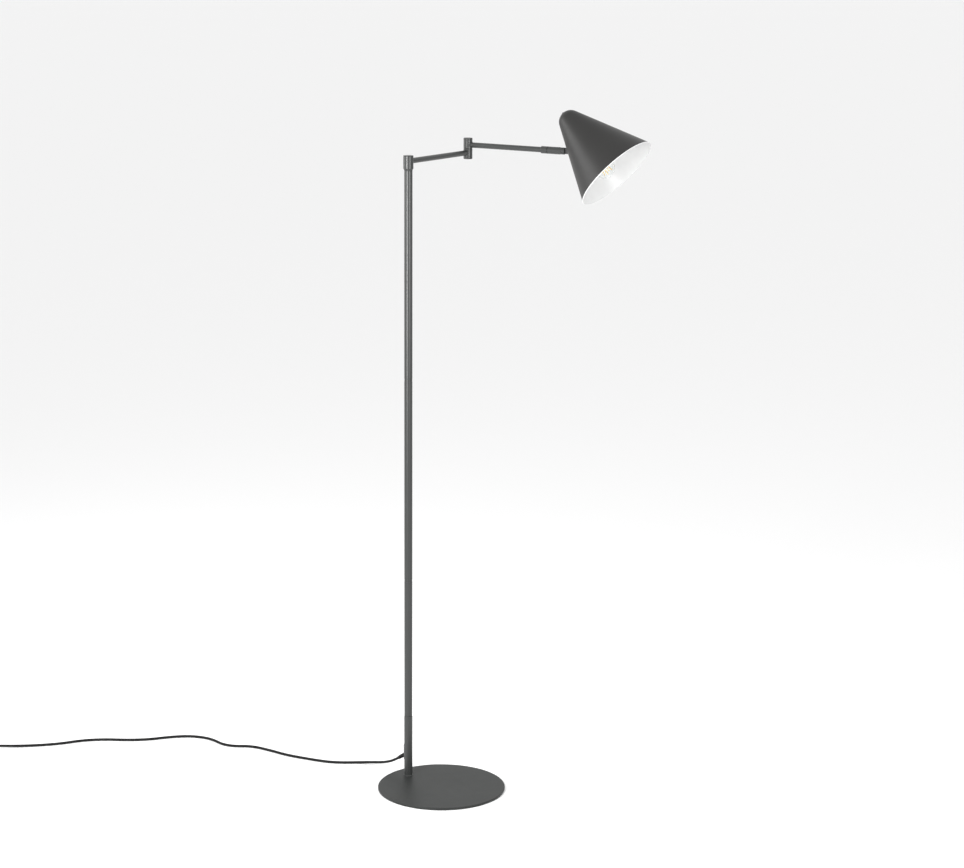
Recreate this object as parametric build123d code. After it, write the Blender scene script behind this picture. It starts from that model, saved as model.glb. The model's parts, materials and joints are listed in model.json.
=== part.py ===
from build123d import *
from math import cos, pi, radians, sin, tan
import os

# Floor-standing swing-arm reading lamp, millimetres, +Z up. The origin is the centre of
# the round foot's underside. The pole stands at the back of the foot, towards +Y.

# --- driving dimensions -------------------------------------------------------------
FOOT_RADIUS = 142.5
FOOT_THICK = 5.0
PAD_THICK = 1.0
POLE_BACK = 103.4            # pole axis behind the centre of the foot
TUBE_RADIUS = 9.0
TUBE_BORE = 8.0
SLEEVE_RADIUS = 9.5
SLEEVE_TOP = 146.0
JOINT_HEIGHTS = (464.0, 919.5)   # middles of the two tube joints
JOINT_COLLAR = 6.0
SLEEVE_COLLAR = 1.2
COUPLER_REACH = 24.0         # how far a coupler goes into the tube on each side
POLE_TOP = 1380.0
HUB_RADIUS = 11.0
HUB_TOP = 1412.5
ARM_RADIUS = 6.0
ARM_BORE = 5.0
ARM_ONE_HEIGHT = 1400.0
ARM_ONE_REACH = 240.0        # pole axis to knuckle axis
ARM_ONE_TURN = 10.2          # degrees from +X
KNUCKLE_RADIUS = 10.0
KNUCKLE_BOTTOM = 1386.0
KNUCKLE_SPLIT = 1409.0
KNUCKLE_TOP = 1433.0
ARM_TWO_HEIGHT = 1417.5
ARM_TWO_TURN = -80.6         # degrees from +X
SWIVEL_RADIUS = 8.0
COLLAR_START = 192.5         # stations along arm two, from the knuckle axis
COLLAR_END = 210.3
SLEEVE_START = 211.4
SLEEVE_END = 256.0
TILT_STATION = 248.0
AXES_CROSS = 338.8           # where the shade's axis crosses the line of arm two
SHADE_DROOP = 43.1           # degrees from arm two down to the shade's axis
SHADE_ROLL = 4.0             # degrees of roll of the head about arm two
CONE_HALF_ANGLE = 23.83
APEX_TO_CROSS = 159.2        # from the cone's sharp apex to the crossing of the axes
MOUTH_STATION = 218.9        # from the sharp apex, along the shade's axis
SHADE_WALL = 1.0
DOME_RADIUS = 26.0
BULB_OFFSET = 13.8           # bulb axis from the shade's axis, towards the arm
BULB_RADIUS = 22.5
BULB_CENTRE = 190.0
HOLDER_REAR = 97.5
CORD_RADIUS = 3.0
FLOOR_CORD = 3.05            # height of the cord's centre where it lies on the floor
BORE_PLAY = 0.05             # radial play of a running fit
FACE_PLAY = 0.1              # gap between flat faces that turn on each other

# --- directions and frames ----------------------------------------------------------
UP = Vector(0, 0, 1)
arm_one_dir = Vector(1, 0, 0).rotate(Axis.Z, ARM_ONE_TURN)
arm_two_dir = Vector(1, 0, 0).rotate(Axis.Z, ARM_TWO_TURN)
pole_foot = Vector(0, POLE_BACK, 0)
knuckle_foot = pole_foot + arm_one_dir * ARM_ONE_REACH
arm_two_start = knuckle_foot + UP * ARM_TWO_HEIGHT
down_dir = (UP * -1).rotate(Axis((0, 0, 0), arm_two_dir), SHADE_ROLL)
tilt_dir = arm_two_dir.cross(down_dir * -1)
shade_dir = arm_two_dir * cos(radians(SHADE_DROOP)) + down_dir * sin(radians(SHADE_DROOP))
arm_side = (shade_dir * shade_dir.dot(arm_two_dir) - arm_two_dir).normalized()
shade_apex = arm_two_start + arm_two_dir * AXES_CROSS - shade_dir * APEX_TO_CROSS

pole_frame = Location(pole_foot)
knuckle_frame = Location(knuckle_foot)
arm_one_frame = Plane(pole_foot + UP * ARM_ONE_HEIGHT, x_dir=UP, z_dir=arm_one_dir).location
arm_two_frame = Plane(arm_two_start, x_dir=UP, z_dir=arm_two_dir).location
# In the head's frame X runs from the shade's axis to the arm's side and Z to the mouth.
shade_frame = Plane(shade_apex, x_dir=arm_side, z_dir=shade_dir).location
# In the tilt frame Z runs along arm two and Y along the tilt axis.
tilt_frame = Plane(arm_two_start + arm_two_dir * TILT_STATION,
                   x_dir=tilt_dir.cross(arm_two_dir), z_dir=arm_two_dir).location

slope = tan(radians(CONE_HALF_ANGLE))
droop = radians(SHADE_DROOP)
wall_reach = APEX_TO_CROSS * slope / (sin(droop) + cos(droop) * slope)
wall_station = APEX_TO_CROSS - wall_reach * cos(droop)
wall_spot = Vector(wall_reach * sin(droop), 0, wall_station)
wall_inward = Vector(-cos(radians(CONE_HALF_ANGLE)), 0, sin(radians(CONE_HALF_ANGLE)))


def rod(radius, low, high):
    return Pos(0, 0, low) * Cylinder(radius, high - low, align=(Align.CENTER, Align.CENTER, Align.MIN))


def ring(outer, inner, low, high):
    return rod(outer, low, high) - rod(inner, low - 1, high + 1)


def taper(low_radius, high_radius, low, high):
    return Pos(0, 0, low) * Cone(low_radius, high_radius, high - low,
                                 align=(Align.CENTER, Align.CENTER, Align.MIN))


def hex_nut(across, bore, low, high):
    outline = RegularPolygon(across / 2, 6, major_radius=False) - Circle(bore)
    return Pos(0, 0, low) * extrude(outline, high - low)


def flange_nut(flange, across, bore, low, high):
    return ring(flange, bore, low, low + 1) + hex_nut(across, bore, low + 1, high)


def spun(outline, axis=Axis.Z):
    return revolve(make_face(outline), axis)


def edges_at(solid, height):
    return [e for e in solid.edges().filter_by(GeomType.CIRCLE) if abs(e.center().Z - height) < 0.01]


def outer_edge(solid, height):
    return max(edges_at(solid, height), key=lambda e: e.radius)


def lead(points, radii, radius):
    path = FilletPolyline(*points, radius=radii)
    start = Plane(path @ 0, z_dir=path % 0)
    return sweep(start * Circle(radius), path)


def save(node, *solids):
    shape = solids[0] if len(solids) == 1 else Compound(children=list(solids))
    export_step(shape, f"parts/{node}.step")


# --- foot ---------------------------------------------------------------------------
SCREW_RADIUS = 4.0
SCREW_HEAD = 8.0
SCREW_HEAD_DEEP = 4.0
SCREW_TOP = 20.0
DRIVE_ACROSS = 5.0           # hexagon socket of the foot screw
DRIVE_DEEP = 2.6
PAD_INSET = 4.0
PAD_HOLE_PLAY = 3.0
FOOT_ROUNDING = 0.8
FOOT_CHAMFER = 0.5
FOOT_TOP = PAD_THICK + FOOT_THICK


def foot():
    plate = rod(FOOT_RADIUS, PAD_THICK, FOOT_TOP)
    plate = fillet(outer_edge(plate, FOOT_TOP), FOOT_ROUNDING)
    plate = chamfer(outer_edge(plate, PAD_THICK), FOOT_CHAMFER)
    sunk = taper(SCREW_HEAD + BORE_PLAY, SCREW_RADIUS + BORE_PLAY, PAD_THICK, PAD_THICK + SCREW_HEAD_DEEP)
    plate -= pole_frame * (sunk + rod(SCREW_RADIUS + BORE_PLAY, PAD_THICK, FOOT_TOP + 1))
    pad = rod(FOOT_RADIUS - PAD_INSET, 0, PAD_THICK)
    pad -= pole_frame * rod(SCREW_HEAD + PAD_HOLE_PLAY, -1, PAD_THICK + 1)
    screw = taper(SCREW_HEAD, SCREW_RADIUS, PAD_THICK, PAD_THICK + SCREW_HEAD_DEEP)
    screw += rod(SCREW_RADIUS, PAD_THICK + SCREW_HEAD_DEEP, SCREW_TOP)
    drive = RegularPolygon(DRIVE_ACROSS / 2, 6, major_radius=False)
    screw -= Pos(0, 0, PAD_THICK) * extrude(drive, DRIVE_DEEP)
    save("foot_plate", plate)
    save("foot_pad", pad)
    save("foot_screw", pole_frame * screw)


# --- pole ---------------------------------------------------------------------------
SLOT_LOW = 40.0
SLOT_HIGH = 80.0
SLOT_WIDTH = 9.0
EXIT_HEIGHT = 52.6
EXIT_FALL = 33.0             # degrees the cord leaves below the horizontal
GROMMET_FACE = 10.5          # from the pole axis to the grommet's outer face
GROMMET_BACK = 5.0
BOOT_LENGTH = 24.0
BOOT_RADII = (4.6, 3.7)      # at the grommet and at the free end
BOOT_GROOVES = 4
GROOVE_START = 6.0
GROOVE_PITCH = 4.0
GROOVE_WIDTH = 1.6
GROOVE_FLOOR = 3.5
LEAD_RADIUS = 2.4
LEAD_PLAY = 0.4
LEAD_BEND = 8.0
COUPLER_BORE = 4.5
COLLAR_INSET = 0.2
COLLAR_CHAMFER = 0.4
COUPLER_CHAMFER = 0.8
SLEEVE_CHAMFER = 0.5
TUBE_CHAMFER = 0.3
PLUG_TOP = 28.0
PLUG_THREAD_TOP = 22.0
SPINDLE_RADIUS = 5.0
SPINDLE_BORE = 3.0
SPINDLE_ROOT = 28.0          # length of the spindle's root in the top tube
SPINDLE_FLANGE = 1.0
SPINDLE_RISE = 16.0
WASHER_THICK = 0.8


def slot_block(near, far, shrink=0.0):
    outline = SlotOverall(SLOT_HIGH - SLOT_LOW - 2 * shrink, SLOT_WIDTH - 2 * shrink, rotation=90)
    place = Plane((0, near, (SLOT_LOW + SLOT_HIGH) / 2), x_dir=(1, 0, 0), z_dir=(0, 1, 0))
    return extrude(place * outline, far - near)


def exit_frame():
    fall = radians(EXIT_FALL)
    return Plane((0, GROMMET_FACE, EXIT_HEIGHT), x_dir=(1, 0, 0), z_dir=(0, cos(fall), -sin(fall))).location


def coupler(low, collar_low, collar_high, high):
    collar = rod(TUBE_RADIUS - COLLAR_INSET, collar_low, collar_high)
    collar = chamfer([outer_edge(collar, collar_low), outer_edge(collar, collar_high)], COLLAR_CHAMFER)
    body = collar + rod(TUBE_BORE, low, high) - rod(COUPLER_BORE, low - 1, high + 1)
    return pole_frame * chamfer([outer_edge(body, low), outer_edge(body, high)], COUPLER_CHAMFER)


def pole():
    sleeve = ring(SLEEVE_RADIUS, TUBE_BORE, FOOT_TOP, SLEEVE_TOP)
    sleeve = chamfer(outer_edge(sleeve, SLEEVE_TOP), SLEEVE_CHAMFER) - slot_block(0, SLEEVE_RADIUS + 1)
    save("pole_sleeve", pole_frame * sleeve)
    plug = rod(TUBE_BORE, FOOT_TOP, PLUG_TOP) - rod(SCREW_RADIUS, FOOT_TOP - 1, PLUG_THREAD_TOP)
    save("sleeve_plug", pole_frame * plug)

    grommet = slot_block(GROMMET_BACK, GROMMET_FACE)
    grommet -= exit_frame() * rod(LEAD_RADIUS + LEAD_PLAY, -12, 3)
    save("exit_grommet", pole_frame * grommet)
    boot = taper(*BOOT_RADII, 0, BOOT_LENGTH)
    for groove in range(BOOT_GROOVES):
        start = GROOVE_START + GROOVE_PITCH * groove
        boot -= ring(BOOT_RADII[0] + 1, GROOVE_FLOOR, start, start + GROOVE_WIDTH)
    boot -= Location(exit_frame()).inverse() * slot_block(0, GROMMET_FACE, -3)
    save("cord_boot", pole_frame * exit_frame() * boot)

    collar_half = JOINT_COLLAR / 2
    low_joint, high_joint = JOINT_HEIGHTS
    couplers = [coupler(SLEEVE_TOP - COUPLER_REACH, SLEEVE_TOP, SLEEVE_TOP + SLEEVE_COLLAR,
                        SLEEVE_TOP + COUPLER_REACH)]
    for joint in JOINT_HEIGHTS:
        couplers.append(coupler(joint - COUPLER_REACH, joint - collar_half, joint + collar_half,
                                joint + COUPLER_REACH))
    save("tube_couplers", *couplers)
    spans = {"lower_tube": (SLEEVE_TOP + SLEEVE_COLLAR, low_joint - collar_half),
             "middle_tube": (low_joint + collar_half, high_joint - collar_half),
             "upper_tube": (high_joint + collar_half, POLE_TOP - SPINDLE_FLANGE)}
    for node, (low, high) in spans.items():
        tube = ring(TUBE_RADIUS, TUBE_BORE, low, high)
        tube = chamfer([outer_edge(tube, low), outer_edge(tube, high)], TUBE_CHAMFER)
        save(node, pole_frame * tube)

    root = POLE_TOP - SPINDLE_ROOT
    spindle = rod(TUBE_BORE, root, POLE_TOP - SPINDLE_FLANGE)
    spindle += rod(TUBE_RADIUS, POLE_TOP - SPINDLE_FLANGE, POLE_TOP)
    spindle += rod(SPINDLE_RADIUS, POLE_TOP, POLE_TOP + SPINDLE_RISE)
    spindle -= rod(SPINDLE_BORE, root - 1, POLE_TOP + SPINDLE_RISE + 1)
    save("pole_spindle", pole_frame * spindle)
    save("hub_washer", pole_frame * ring(TUBE_RADIUS, SPINDLE_RADIUS, POLE_TOP, POLE_TOP + WASHER_THICK))

    start = exit_frame() * Pos(0, 0, -4.5)
    bend = EXIT_HEIGHT + GROMMET_FACE * tan(radians(EXIT_FALL))
    inner = lead([start.position, (0, 0, bend), (0, 0, POLE_TOP + SPINDLE_RISE + 1)], [LEAD_BEND], LEAD_RADIUS)
    save("pole_lead", pole_frame * inner)


# --- hub and arm one ----------------------------------------------------------------
HUB_BOTTOM = POLE_TOP + WASHER_THICK + FACE_PLAY
HUB_CAP = 1.6
HUB_SPIGOT = 4.0             # from the hub's top to the underside of its cap's spigot
HUB_CAP_CHAMFER = 1.0
HUB_TAPER = (2.0, 3.5)       # inwards and upwards at the hub's lower edge
HUB_NUT = (8.0, 14.0)        # flange radius and width across the flats
HUB_NUT_HIGH = 6.0
WIRE_HOLE = 4.0
HUB_WEB = 6.0
HUB_CAVITY = 9.0
PIN_FLANGE = 7.0
PIN_FLANGE_THICK = 2.0
KNUCKLE_WEB = 4.2
KNUCKLE_BORE = 8.0
LOWER_WEB = 4.0
LOWER_CAP = 5.0
LOWER_CAP_ROUNDING = 1.5
LOWER_SPIGOT = 2.5
KNUCKLE_NUT = (7.4, 12.0)
KNUCKLE_NUT_HIGH = 5.0
ARM_ONE_LEAD = 1.8
TUBE_SUNK = 5.0              # arm tubes are cut from here, inside the round they meet


def hub():
    seam = HUB_TOP - HUB_CAP
    inwards, upwards = HUB_TAPER
    outline = Polyline((0, HUB_BOTTOM), (HUB_RADIUS - inwards, HUB_BOTTOM), (HUB_RADIUS, HUB_BOTTOM + upwards),
                       (HUB_RADIUS, seam), (0, seam), close=True)
    barrel = spun(Plane.XZ * outline)
    barrel -= rod(SPINDLE_RADIUS + BORE_PLAY, HUB_BOTTOM - 1, HUB_TOP)
    barrel -= rod(HUB_CAVITY, HUB_BOTTOM + HUB_WEB, HUB_TOP)
    barrel = pole_frame * barrel - arm_one_frame * rod(WIRE_HOLE, 0, HUB_RADIUS + 2)
    save("hub_barrel", barrel)
    cap = rod(HUB_RADIUS, seam, HUB_TOP) + rod(HUB_CAVITY, HUB_TOP - HUB_SPIGOT, seam)
    save("hub_cap", pole_frame * chamfer(outer_edge(cap, HUB_TOP), HUB_CAP_CHAMFER))
    nut_low = HUB_BOTTOM + HUB_WEB + FACE_PLAY
    save("hub_nut", pole_frame * flange_nut(*HUB_NUT, SPINDLE_RADIUS, nut_low, nut_low + HUB_NUT_HIGH))


def arm_one():
    hub_shape = pole_frame * rod(HUB_RADIUS, HUB_BOTTOM, HUB_TOP)
    knuckle_shape = knuckle_frame * rod(KNUCKLE_RADIUS, KNUCKLE_BOTTOM, KNUCKLE_TOP)
    tube = arm_one_frame * ring(ARM_RADIUS, ARM_BORE, TUBE_SUNK, ARM_ONE_REACH - TUBE_SUNK)
    save("arm_one_tube", tube - hub_shape - knuckle_shape)

    cap_split = KNUCKLE_BOTTOM + LOWER_CAP
    flange_top = KNUCKLE_SPLIT - LOWER_WEB
    barrel_top = KNUCKLE_SPLIT - FACE_PLAY
    barrel = ring(KNUCKLE_RADIUS, KNUCKLE_BORE, cap_split, barrel_top)
    barrel += ring(KNUCKLE_RADIUS, SPINDLE_RADIUS, flange_top, barrel_top)
    wall_spot = ARM_ONE_REACH - KNUCKLE_RADIUS
    bore = arm_one_frame * rod(WIRE_HOLE, wall_spot - 2, wall_spot + 3)
    save("lower_knuckle", knuckle_frame * barrel - bore)
    cap = rod(KNUCKLE_RADIUS, KNUCKLE_BOTTOM, cap_split)
    cap += rod(KNUCKLE_BORE, cap_split, cap_split + LOWER_SPIGOT)
    save("lower_knuckle_cap", knuckle_frame * fillet(outer_edge(cap, KNUCKLE_BOTTOM), LOWER_CAP_ROUNDING))

    pin_top = ARM_TWO_HEIGHT + 2
    pin = rod(PIN_FLANGE, flange_top - PIN_FLANGE_THICK, flange_top)
    pin += rod(SPINDLE_RADIUS, flange_top, pin_top)
    pin -= rod(SPINDLE_BORE, flange_top - PIN_FLANGE_THICK - 1, pin_top + 1)
    save("knuckle_pin", knuckle_frame * pin)
    nut_low = KNUCKLE_SPLIT + KNUCKLE_WEB + FACE_PLAY
    save("knuckle_nut", knuckle_frame * flange_nut(*KNUCKLE_NUT, SPINDLE_RADIUS, nut_low,
                                                      nut_low + KNUCKLE_NUT_HIGH))

    reach = arm_one_dir * ARM_ONE_REACH
    route = [arm_one_dir * 2, reach, reach + UP * (pin_top - ARM_ONE_HEIGHT)]
    inner = lead(route, [5], ARM_ONE_LEAD)
    save("arm_one_lead", Location(pole_foot + UP * ARM_ONE_HEIGHT) * inner)


# --- arm two and its swivel ---------------------------------------------------------
SLEEVE_WEB = 3.6
KNUCKLE_WASHER = (9.0, 0.5)  # radius and thickness
UPPER_CAP = 2.0
UPPER_CAP_ROUNDING = 1.4
UPPER_SPIGOT = 3.0
UPPER_WIRE_HOLE = 4.8
COLLAR_WEB = 3.5
SWIVEL_TAPER = 1.6
BOLT_HEAD = (4.8, 3.0)       # radius and thickness
BOLT_RADIUS = 4.0
BOLT_BORE = 2.2
BOLT_REACH = 10.0            # beyond the start of the sleeve
SWIVEL_WASHER = 6.8
SWIVEL_NUT = (6.0, 10.4)
SWIVEL_NUT_HIGH = 5.0
ARM_TWO_LEAD = 1.5


def arm_two():
    washer_radius, washer_thick = KNUCKLE_WASHER
    washer_top = KNUCKLE_SPLIT + washer_thick
    washer = ring(washer_radius, SPINDLE_RADIUS + BORE_PLAY, KNUCKLE_SPLIT, washer_top)
    save("knuckle_washer", knuckle_frame * washer)
    cap_split = KNUCKLE_TOP - UPPER_CAP
    barrel = ring(KNUCKLE_RADIUS, KNUCKLE_BORE, washer_top, cap_split)
    barrel += ring(KNUCKLE_RADIUS, SPINDLE_RADIUS + BORE_PLAY, washer_top, KNUCKLE_SPLIT + KNUCKLE_WEB)
    bore = arm_two_frame * rod(UPPER_WIRE_HOLE, KNUCKLE_RADIUS - 3, KNUCKLE_RADIUS + 2)
    save("upper_knuckle", knuckle_frame * barrel - bore)
    cap = rod(KNUCKLE_RADIUS, cap_split, KNUCKLE_TOP)
    cap += rod(KNUCKLE_BORE, cap_split - UPPER_SPIGOT, cap_split)
    save("upper_knuckle_cap", knuckle_frame * fillet(outer_edge(cap, KNUCKLE_TOP), UPPER_CAP_ROUNDING))

    tube_end = COLLAR_END - COLLAR_WEB
    tube = arm_two_frame * ring(ARM_RADIUS, ARM_BORE, TUBE_SUNK, tube_end)
    save("arm_two_tube", tube - knuckle_frame * rod(KNUCKLE_RADIUS, KNUCKLE_BOTTOM, KNUCKLE_TOP))
    collar = rod(SWIVEL_RADIUS, COLLAR_START, COLLAR_END)
    collar = chamfer(outer_edge(collar, COLLAR_START), SWIVEL_TAPER)
    collar -= rod(ARM_RADIUS, COLLAR_START - 1, tube_end) + rod(BOLT_RADIUS, tube_end - 1, COLLAR_END + 1)
    save("swivel_collar", arm_two_frame * collar)

    head_radius, head_thick = BOLT_HEAD
    bolt_end = SLEEVE_START + BOLT_REACH
    bolt = rod(head_radius, tube_end - head_thick, tube_end) + rod(BOLT_RADIUS, tube_end, bolt_end)
    bolt -= rod(BOLT_BORE, tube_end - head_thick - 1, bolt_end + 1)
    save("swivel_bolt", arm_two_frame * bolt)
    washer = ring(SWIVEL_WASHER, BOLT_RADIUS, COLLAR_END, SLEEVE_START - FACE_PLAY)
    save("swivel_washer", arm_two_frame * washer)
    nut_low = SLEEVE_START + SLEEVE_WEB + FACE_PLAY
    save("swivel_nut", arm_two_frame * flange_nut(*SWIVEL_NUT, BOLT_RADIUS, nut_low,
                                                    nut_low + SWIVEL_NUT_HIGH))

    points = [(0, 0, 2.5), (0, 0, 5.4), (13.5, 0, 0.4), (bolt_end - 1, 0, 0)]
    turned = Plane(arm_two_start, x_dir=arm_two_dir, z_dir=UP).location
    save("arm_two_lead", turned * lead(points, [1.8, 12], ARM_TWO_LEAD))


SLOT_HALF = 4.1
SLOT_ROOT = 9.0              # from the tilt axis back to the bottom of the slot
SLEEVE_BORE = 6.5
BORE_END = 12.0              # from the tilt axis back to the end of the sleeve's bore
SLEEVE_EDGE = 0.4
PIVOT_RADIUS = 2.0
PIVOT_HALF = 7.2
SCREW_SLOT = (0.6, 5.0, 1.6)


def swivel_sleeve():
    sleeve = rod(SWIVEL_RADIUS, SLEEVE_START, SLEEVE_END)
    sleeve = chamfer(outer_edge(sleeve, SLEEVE_END), SWIVEL_TAPER)
    sleeve = chamfer(outer_edge(sleeve, SLEEVE_START), SLEEVE_EDGE)
    sleeve -= rod(BOLT_RADIUS + BORE_PLAY, SLEEVE_START - 1, SLEEVE_START + SLEEVE_WEB + 1)
    sleeve -= rod(SLEEVE_BORE, SLEEVE_START + SLEEVE_WEB, TILT_STATION - BORE_END)
    sleeve = arm_two_frame * sleeve
    slot = Box(30, 2 * SLOT_HALF, 40, align=(Align.CENTER, Align.CENTER, Align.MIN))
    sleeve -= tilt_frame * Pos(0, 0, -SLOT_ROOT) * slot
    sleeve -= tilt_frame * Rot(90, 0, 0) * rod(PIVOT_RADIUS, -10, 10)
    save("swivel_sleeve", sleeve)
    screw = rod(PIVOT_RADIUS, -PIVOT_HALF, PIVOT_HALF) - Pos(0, 0, PIVOT_HALF) * Box(*SCREW_SLOT)
    save("tilt_screw", tilt_frame * Rot(90, 0, 0) * screw)


# --- head: tilt stem, shade, bracket, lampholder and bulb ---------------------------
def cone_outline(inset):
    # The generator line moved inwards by inset, closed by a tangent dome at the small end.
    half = radians(CONE_HALF_ANGLE)
    centre = DOME_RADIUS / sin(half)
    radius = DOME_RADIUS - inset
    touch = (radius * cos(half), centre - radius * sin(half))
    along = (MOUTH_STATION - touch[1]) / cos(half)
    mouth = (touch[0] + along * sin(half), MOUTH_STATION)
    middle = radians(90 + CONE_HALF_ANGLE) / 2
    bend = (radius * sin(middle), centre - radius * cos(middle))
    return (0, centre - radius), bend, touch, mouth


def cone_solid(inset):
    tip, bend, touch, mouth = cone_outline(inset)
    dome = ThreePointArc(tip, bend, touch)
    outline = dome + Polyline(touch, mouth, (0, MOUTH_STATION), tip)
    return spun(Plane.XZ * outline)


def wall_frame():
    return Plane(wall_spot, x_dir=(0, 1, 0), z_dir=wall_inward).location


def tilt_stem():
    lug = extrude(Plane.XZ.offset(-4.0) * (Circle(5.5) + Pos(0, 8) * Rectangle(11, 16)), 8.0)
    reach = AXES_CROSS - TILT_STATION - wall_reach
    lug += rod(4.0, 10, reach + 3)
    lug = tilt_frame * lug
    disc = wall_frame() * rod(8.2, -3.2, 4)
    stem = lug + shade_frame * disc - shade_frame * cone_solid(0)
    stem += shade_frame * wall_frame() * rod(5 - BORE_PLAY, -2, 10)
    stem -= tilt_frame * Rot(90, 0, 0) * rod(PIVOT_RADIUS + BORE_PLAY, -10, 10)
    save("tilt_stem", stem)
    wall_nut = wall_frame() * hex_nut(14, 5 - BORE_PLAY, 3.5, 7.0)
    nipple_nut = hex_nut(14, 5, HOLDER_REAR - BRACKET_THICK - 3.5, HOLDER_REAR - BRACKET_THICK)
    save("head_nuts", shade_frame * wall_nut, shade_frame * Pos(BULB_OFFSET, 0, 0) * nipple_nut)


def shade():
    shell = cone_solid(0) - cone_solid(SHADE_WALL)
    shell -= wall_frame() * rod(5, -4, 6)
    shell -= rod(2.5, 0, 60)
    save("shade_shell", shade_frame * shell)
    tip = DOME_RADIUS / sin(radians(CONE_HALF_ANGLE)) - DOME_RADIUS
    button = Pos(0, 0, tip + 2.2) * Sphere(4.2) & rod(5, tip - 3, tip)
    button += rod(2.5, tip - 0.5, tip + 3)
    button -= cone_solid(0) - rod(2.5, 0, 60)
    save("shade_button", shade_frame * button)


BRACKET_THICK = 1.5
BRACKET_REACH = 40.2
LEAD_HOLE = 31.5


def bracket():
    on_top = (Align.CENTER, Align.CENTER, Align.MIN)
    wall_leg = wall_frame() * (Pos(0, 1.5, 2) * Box(15, 27, BRACKET_THICK, align=on_top) - rod(5, 0, 8))
    low, high = BULB_OFFSET - 8, BRACKET_REACH
    leg = Box(high - low, 15, BRACKET_THICK, align=on_top)
    leg = Pos((low + high) / 2, 0, HOLDER_REAR - BRACKET_THICK) * leg
    leg -= Pos(BULB_OFFSET, 0, 0) * rod(5, HOLDER_REAR - 5, HOLDER_REAR + 5)
    leg -= Pos(LEAD_HOLE, 0, 0) * rod(2.4, HOLDER_REAR - 5, HOLDER_REAR + 5)
    save("lamp_bracket", shade_frame * (wall_leg + leg))


def lampholder():
    at = shade_frame * Pos(BULB_OFFSET, 0, 0)
    nipple = ring(5, 3, HOLDER_REAR - 6, HOLDER_REAR + 4)
    save("holder_nipple", at * nipple)
    cap_top = HOLDER_REAR + 20
    cap = rod(12, HOLDER_REAR, cap_top)
    cap = fillet(outer_edge(cap, HOLDER_REAR), 3)
    cap -= rod(5, HOLDER_REAR - 1, HOLDER_REAR + 5) + rod(10, HOLDER_REAR + 5, cap_top + 1)
    save("holder_cap", at * cap)
    shell_top = 158.0
    shell = ring(13.4, 7.4, cap_top + 14, shell_top) + ring(13.4, 11, cap_top, cap_top + 14)
    shell = fillet(outer_edge(shell, shell_top), 1.5)
    save("holder_shell", at * shell)
    core = ring(10.8, 2.2, cap_top, cap_top + 13)
    save("holder_core", at * core)
    contact = rod(2.2, cap_top, cap_top + 13.6) + ring(3.2, 2.2, cap_top + 13, cap_top + 13.6)
    save("holder_contact", at * contact)


BULB_CAP_LOW = 134.6
BULB_NECK = 158.6


def bulb_outline(inset):
    radius = BULB_RADIUS - inset
    tip = (0, BULB_CENTRE + radius)
    side = (radius, BULB_CENTRE)
    lean = radians(38)
    shoulder = (radius * cos(lean), BULB_CENTRE - radius * sin(lean))
    neck = (6.6 - inset, BULB_NECK)
    upper = ThreePointArc(tip, side, shoulder)
    lower = Spline(shoulder, (9.6 - inset, 164), neck, tangents=[(-sin(lean), -cos(lean)), (0, -1)])
    return upper + lower + Polyline(neck, (neck[0], BULB_NECK - 3), (0, BULB_NECK - 3), tip)


def bulb():
    at = shade_frame * Pos(BULB_OFFSET, 0, 0)
    outer = spun(Plane.XZ * bulb_outline(0))
    inner = spun(Plane.XZ * bulb_outline(0.7))
    save("bulb_glass", at * (outer - inner - rod(5.8, BULB_NECK - 6, BULB_NECK + 1)))
    cap = rod(7.2, BULB_CAP_LOW + 3, BULB_NECK) + taper(2.5, 7.2, BULB_CAP_LOW, BULB_CAP_LOW + 3)
    cap -= rod(6.6, BULB_CAP_LOW + 5, BULB_NECK + 1)
    save("bulb_cap", at * cap)
    stem = rod(5.4, BULB_NECK - 4, BULB_NECK + 1) + taper(4, 1.6, BULB_NECK + 1, BULB_NECK + 12)
    stem += rod(1.2, BULB_NECK + 12, BULB_CENTRE - 8)
    save("bulb_stem", at * stem)
    rods = []
    for quarter in range(4):
        place = Rot(0, 0, 45 + 90 * quarter) * Pos(5.5, 0, BULB_CENTRE - 16) * Rot(0, 9, 0)
        rods.append(at * place * rod(0.9, 0, 30))
    save("bulb_filaments", *rods)


def head_lead():
    inside = wall_spot + wall_inward * 10
    knee = wall_spot + wall_inward * 16
    points = [inside, knee, Vector(LEAD_HOLE, 0, HOLDER_REAR + 4), Vector(LEAD_HOLE, 0, 84),
              Vector(BULB_OFFSET, 0, 80), Vector(BULB_OFFSET, 0, HOLDER_REAR - 6)]
    save("head_lead", shade_frame * lead(points, [1.9, 6, 4.5, 4.5], 1.4))


# --- mains cord, switch, coil and plug ----------------------------------------------
# Hand-laid route of the cord on the floor, from the boot to the switch.
boot_place = pole_frame * exit_frame()
boot_end, boot_ahead = [(boot_place * Pos(0, 0, BOOT_LENGTH + run)).position for run in (0, 22)]
CORD_ROUTE = [
    boot_end, boot_ahead, (2, 182, 16.5), (0, 216, 8.5), (-9, 247, FLOOR_CORD), (-34, 271, FLOOR_CORD),
    (-55, 297, FLOOR_CORD), (-68, 328, FLOOR_CORD), (-80, 366, FLOOR_CORD), (-92, 410, FLOOR_CORD),
    (-96, 462, FLOOR_CORD), (-105, 514, FLOOR_CORD), (-134, 543, FLOOR_CORD), (-144, 574, FLOOR_CORD),
    (-138, 604, FLOOR_CORD), (-139, 638, FLOOR_CORD), (-158, 676, FLOOR_CORD), (-196, 705, FLOOR_CORD),
    (-240, 726, FLOOR_CORD), (-278, 760, FLOOR_CORD), (-311, 803, FLOOR_CORD), (-353, 836, FLOOR_CORD),
    (-402, 854, FLOOR_CORD), (-447, 884, FLOOR_CORD), (-489, 917, 4.2), (-524, 943, 7.4), (-548, 960, 7.5)]
SWITCH_SIZE = (62.0, 27.0, 15.0)
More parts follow.
